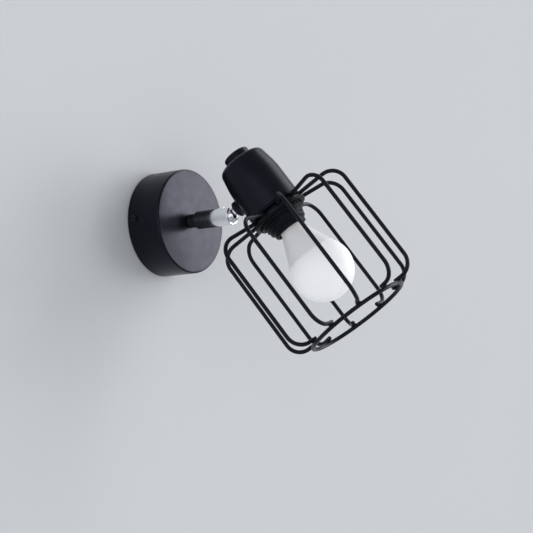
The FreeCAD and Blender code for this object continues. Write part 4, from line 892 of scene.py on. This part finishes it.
def wire_tree(finish):
    """Bends one wire, with its weld bead at the ring, and copies it round the axis."""
    tree = Tree("cage wires")
    thick = tree.size("wire radius")
    count = tree.size("wires", "NodeSocketInt")
    phase = tree.size("phase")
    start = tree.size("inner radius")
    out = tree.size("cage radius")
    foot = tree.size("foot radius")
    top = tree.size("top height")
    bottom = tree.size("bottom height")
    top_bend = tree.size("top bend")
    bottom_bend = tree.size("bottom bend")
    weld_radius = tree.size("weld radius")
    ring = tree.size("ring radius")
    index = tree.add("GeometryNodeInputIndex").outputs[0]
    corners = [tree.point(start, 0.0, top), tree.point(out, 0.0, top),
               tree.point(out, 0.0, bottom), tree.point(foot, 0.0, bottom)]
    place = tree.add("GeometryNodeIndexSwitch", data_type="VECTOR")
    bend = tree.add("GeometryNodeIndexSwitch", data_type="FLOAT")
    for switch in (place, bend):
        switch.index_switch_items.new()
        switch.index_switch_items.new()
        tree.group.links.new(index, switch.inputs["Index"])
    for number, corner in enumerate(corners):
        tree.group.links.new(corner, place.inputs[1 + number])
    tree.group.links.new(top_bend, bend.inputs[2])
    tree.group.links.new(bottom_bend, bend.inputs[3])
    line = tree.add("GeometryNodeMeshLine", {"Count": 4})
    shaped = tree.add("GeometryNodeSetPosition",
                      {"Geometry": line.outputs[0], "Position": place.outputs[0]})
    path = tree.add("GeometryNodeMeshToCurve", {"Mesh": shaped.outputs[0]})
    soft = tree.add("GeometryNodeFilletCurve",
                    {"Curve": path.outputs[0], "Radius": bend.outputs[0], "Count": 14}, mode="POLY")
    profile = tree.add("GeometryNodeCurvePrimitiveCircle", {"Resolution": 20, "Radius": thick})
    bar = tree.add("GeometryNodeCurveToMesh",
                   {"Curve": soft.outputs[0], "Profile Curve": profile.outputs[0],
                    "Fill Caps": True})
    bead = tree.add("GeometryNodeMeshIcoSphere", {"Radius": weld_radius, "Subdivisions": 3})
    seam = tree.maths("ADD", bottom, thick)
    ring_bead = tree.add("GeometryNodeTransform",
                         {"Geometry": bead.outputs["Mesh"], "Scale": (1.0, 1.15, 0.62),
                          "Translation": tree.point(ring, 0.0, seam)})
    joined = tree.add("GeometryNodeJoinGeometry", {0: bar.outputs[0]})
    tree.group.links.new(ring_bead.outputs[0], joined.inputs[0])
    tree.finish(around(tree, joined.outputs[0], count, phase), finish)
    return tree


def make_wires():
    values = {"wire radius": WIRE_RADIUS * MM, "wires": WIRES, "phase": math.radians(WIRE_PHASE),
              "inner radius": 18.8 * MM, "cage radius": CAGE_RADIUS * MM, "foot radius": 34.6 * MM,
              "top height": (COLLAR_TOP - WIRE_RADIUS) * MM,
              "bottom height": (RING_HEIGHT_ON_AXIS - 2 * WIRE_RADIUS) * MM,
              "top bend": 11.5 * MM, "bottom bend": 11.0 * MM,
              "weld radius": 1.9 * MM, "ring radius": RING_RADIUS * MM}
    mesh = grown(wire_tree(COAT), values)
    smooth(mesh, 45)
    names = [f"cage_wire_{number:02d}" for number in range(1, WIRES + 1)]
    show("bent_cage_wires", mesh, HEAD, COAT, "head", names)


make_wires()

# %% Collar and bottom ring


def make_collar():
    inner = 15.4
    outer = 20.5
    bottom = COLLAR_TOP + COLLAR_THICKNESS
    outline = [(inner, COLLAR_TOP), (outer, COLLAR_TOP), (outer, bottom), (inner, bottom)]
    spun("collar_plate", outline, HEAD, COAT, "head", ["cage_collar"])


def make_bottom_ring():
    sides = 20
    centre = (RING_RADIUS, RING_HEIGHT_ON_AXIS)
    outline = arc_points(centre, WIRE_RADIUS, 0, 360 - 360 / sides, sides - 1)
    spun("wire_ring", outline, HEAD, COAT, "head", ["cage_bottom_ring"],
         edge=0, segments=160)


make_collar()
make_bottom_ring()

# %% [markdown]
# ## Lamp
# A small globe lamp: a white moulded cone that widens from the cap, and an opal dome that
# snaps on it with a fine seam. Both are thin shells, spun with their inner sides.

# %% Lamp body and dome
GLOBE_RADIUS = 22.25
GLOBE_HEIGHT = 72.2
DOME_WALL = 1.2
SEAM = 59.6
SEAM_GROOVE = 0.12
SEAM_RADIUS = math.sqrt(GLOBE_RADIUS ** 2 - (GLOBE_HEIGHT - SEAM) ** 2)


def make_lamp_body():
    rim = SEAM_RADIUS
    bore = 5.0
    plug = 6.48
    foot = 8.5
    foot_end = 36.8
    ledge = 57.98
    outline = [(bore, 30.0), (plug, 30.0), (plug, 34.5), (foot - 0.4, 34.5), (foot, 34.9)]
    outline += [(foot, foot_end), (foot + 1.1, foot_end + 2.4), (rim - 0.7, SEAM - 1.4)]
    outline += [(rim - 0.15, SEAM - 0.5), (rim - 0.35, SEAM), (rim - 1.5, SEAM)]
    outline += [(rim - 1.5, ledge), (rim - 3.1, ledge), (bore, foot_end)]
    mesh = spun_mesh("lamp_body", outline, 128)
    smooth(mesh, 40)
    show("lamp_cone", mesh, HEAD, LAMP_WHITE, "lamp", ["lamp_body"])


def make_dome():
    inner = GLOBE_RADIUS - DOME_WALL
    low = -math.degrees(math.asin((GLOBE_HEIGHT - SEAM - SEAM_GROOVE) / GLOBE_RADIUS))
    inner_low = -math.degrees(math.asin((GLOBE_HEIGHT - SEAM) / inner))
    centre = (0, GLOBE_HEIGHT)
    outline = [(SEAM_RADIUS - 0.3, SEAM)] + arc_points(centre, GLOBE_RADIUS, low, 89, 60)
    outline += [(0, GLOBE_HEIGHT + GLOBE_RADIUS), (0, GLOBE_HEIGHT + inner)]
    outline += arc_points(centre, inner, 89, inner_low, 48)
    mesh = spun_mesh("dome", outline, 128)
    smooth(mesh, 45)
    show("opal_globe", mesh, HEAD, OPAL, "lamp", ["lamp_dome"])


make_lamp_body()
make_dome()

# %% [markdown]
# ## Wall, floor and lights
# The light hangs on a plain pale wall. The wall is a single sheet that can be seen through from
# its back, and it has a round opening behind the canopy, which only the canopy's inside sees, so
# that views from behind show the bracket and the terminal block. A broad softbox on the right,
# with a brighter middle, and one above it make the soft shadow that falls to the lower left, the
# sheen of the canopy's face and the streak on the shell. A very wide one low beside the camera
# and an even world fill in, and one behind the wall lights the canopy's inside.

# %% Wall and floor
WALL_COLOUR = (0.60, 0.617, 0.638)


def sheet_object(name, corners, faces, colour, see_through_back):
    """A flat painted sheet for the stage, which is no part of the light."""
    mesh = bpy.data.meshes.new(name)
    mesh.from_pydata(corners, [], faces)
    material, tree, shader = new_finish(name + " paint", colour, 0.85)
    tint(tree, shader, noise(tree, 0.5), tuple(part * 0.985 for part in colour), colour)
    shader.inputs["Specular IOR Level"].default_value = 0.1
    if see_through_back:
        clear = tree.nodes.new("ShaderNodeBsdfTransparent")
        side = tree.nodes.new("ShaderNodeNewGeometry")
        mix = tree.nodes.new("ShaderNodeMixShader")
        tree.links.new(side.outputs["Backfacing"], mix.inputs[0])
        tree.links.new(shader.outputs[0], mix.inputs[1])
        tree.links.new(clear.outputs[0], mix.inputs[2])
        tree.links.new(mix.outputs[0], tree.nodes["Material Output"].inputs["Surface"])
    mesh.materials.append(material)
    item = bpy.data.objects.new(name, mesh)
    bpy.context.scene.collection.objects.link(item)
    return item


BEHIND = 0.0004                   # metres, so that the canopy's back doesn't lie in the wall
SPREAD = 4.0                      # metres, the wall's radius and half the floor's side
FLOOR = -1.6                      # metres, the floor's height
OPENING = (CANOPY_RADIUS - 3.0) * MM
SIDES = 64

wall_points = []
wall_faces = []
for side in range(SIDES):
    angle = 2 * math.pi * side / SIDES
    for radius in (OPENING, SPREAD):
        wall_points.append((radius * math.cos(angle), BEHIND, radius * math.sin(angle)))
    after = (side + 1) % SIDES
    wall_faces.append((2 * side, 2 * side + 1, 2 * after + 1, 2 * after))
sheet_object("wall", wall_points, wall_faces, WALL_COLOUR, True)
floor_points = [(-SPREAD, -SPREAD, FLOOR), (SPREAD, -SPREAD, FLOOR),
                (SPREAD, SPREAD, FLOOR), (-SPREAD, SPREAD, FLOOR)]
floor = sheet_object("floor", floor_points, [(0, 1, 2, 3)], WALL_COLOUR, False)
floor.visible_shadow = False      # the fill stands low, and its light passes the floor
print("wall opening", round(OPENING, 4), "m")

# %% Lights


def add_sun(name, towards, spread, strength):
    """A far round softbox: towards is where it stands, spread is how wide it looks."""
    data = bpy.data.lights.new(name, "SUN")
    data.angle = math.radians(spread)
    data.energy = strength
    item = bpy.data.objects.new(name, data)
    bpy.context.scene.collection.objects.link(item)
    item.rotation_euler = Vector(towards).to_track_quat("Z", "Y").to_euler()


add_sun("key softbox", (0.76, -0.63, 0.18), 50, 1.3)
add_sun("upper softbox", (0.62, -0.36, 0.70), 36, 0.8)
add_sun("key softbox centre", (0.77, -0.62, 0.15), 22, 0.56)
add_sun("wide fill", (-0.72, -0.52, -0.46), 100, 1.5)
add_sun("behind the opening", (0.35, 0.80, 0.48), 70, 0.55)

WORLD_COLOUR = (0.94, 0.97, 1.0)
WORLD_LIGHT = 0.36                # what the world gives to surfaces
WORLD_SEEN = 0.62                 # how bright the camera sees it
world = bpy.data.worlds.new("world")
bpy.context.scene.world = world
world.use_nodes = True
background = world.node_tree.nodes["Background"]
background.inputs["Color"].default_value = (*WORLD_COLOUR, 1)
seen = world.node_tree.nodes.new("ShaderNodeLightPath")
level = world.node_tree.nodes.new("ShaderNodeMapRange")
level.inputs["To Min"].default_value = WORLD_LIGHT
level.inputs["To Max"].default_value = WORLD_SEEN
world.node_tree.links.new(seen.outputs["Is Camera Ray"], level.inputs["Value"])
world.node_tree.links.new(level.outputs["Result"], background.inputs["Strength"])
bpy.context.scene.view_settings.view_transform = "Standard"
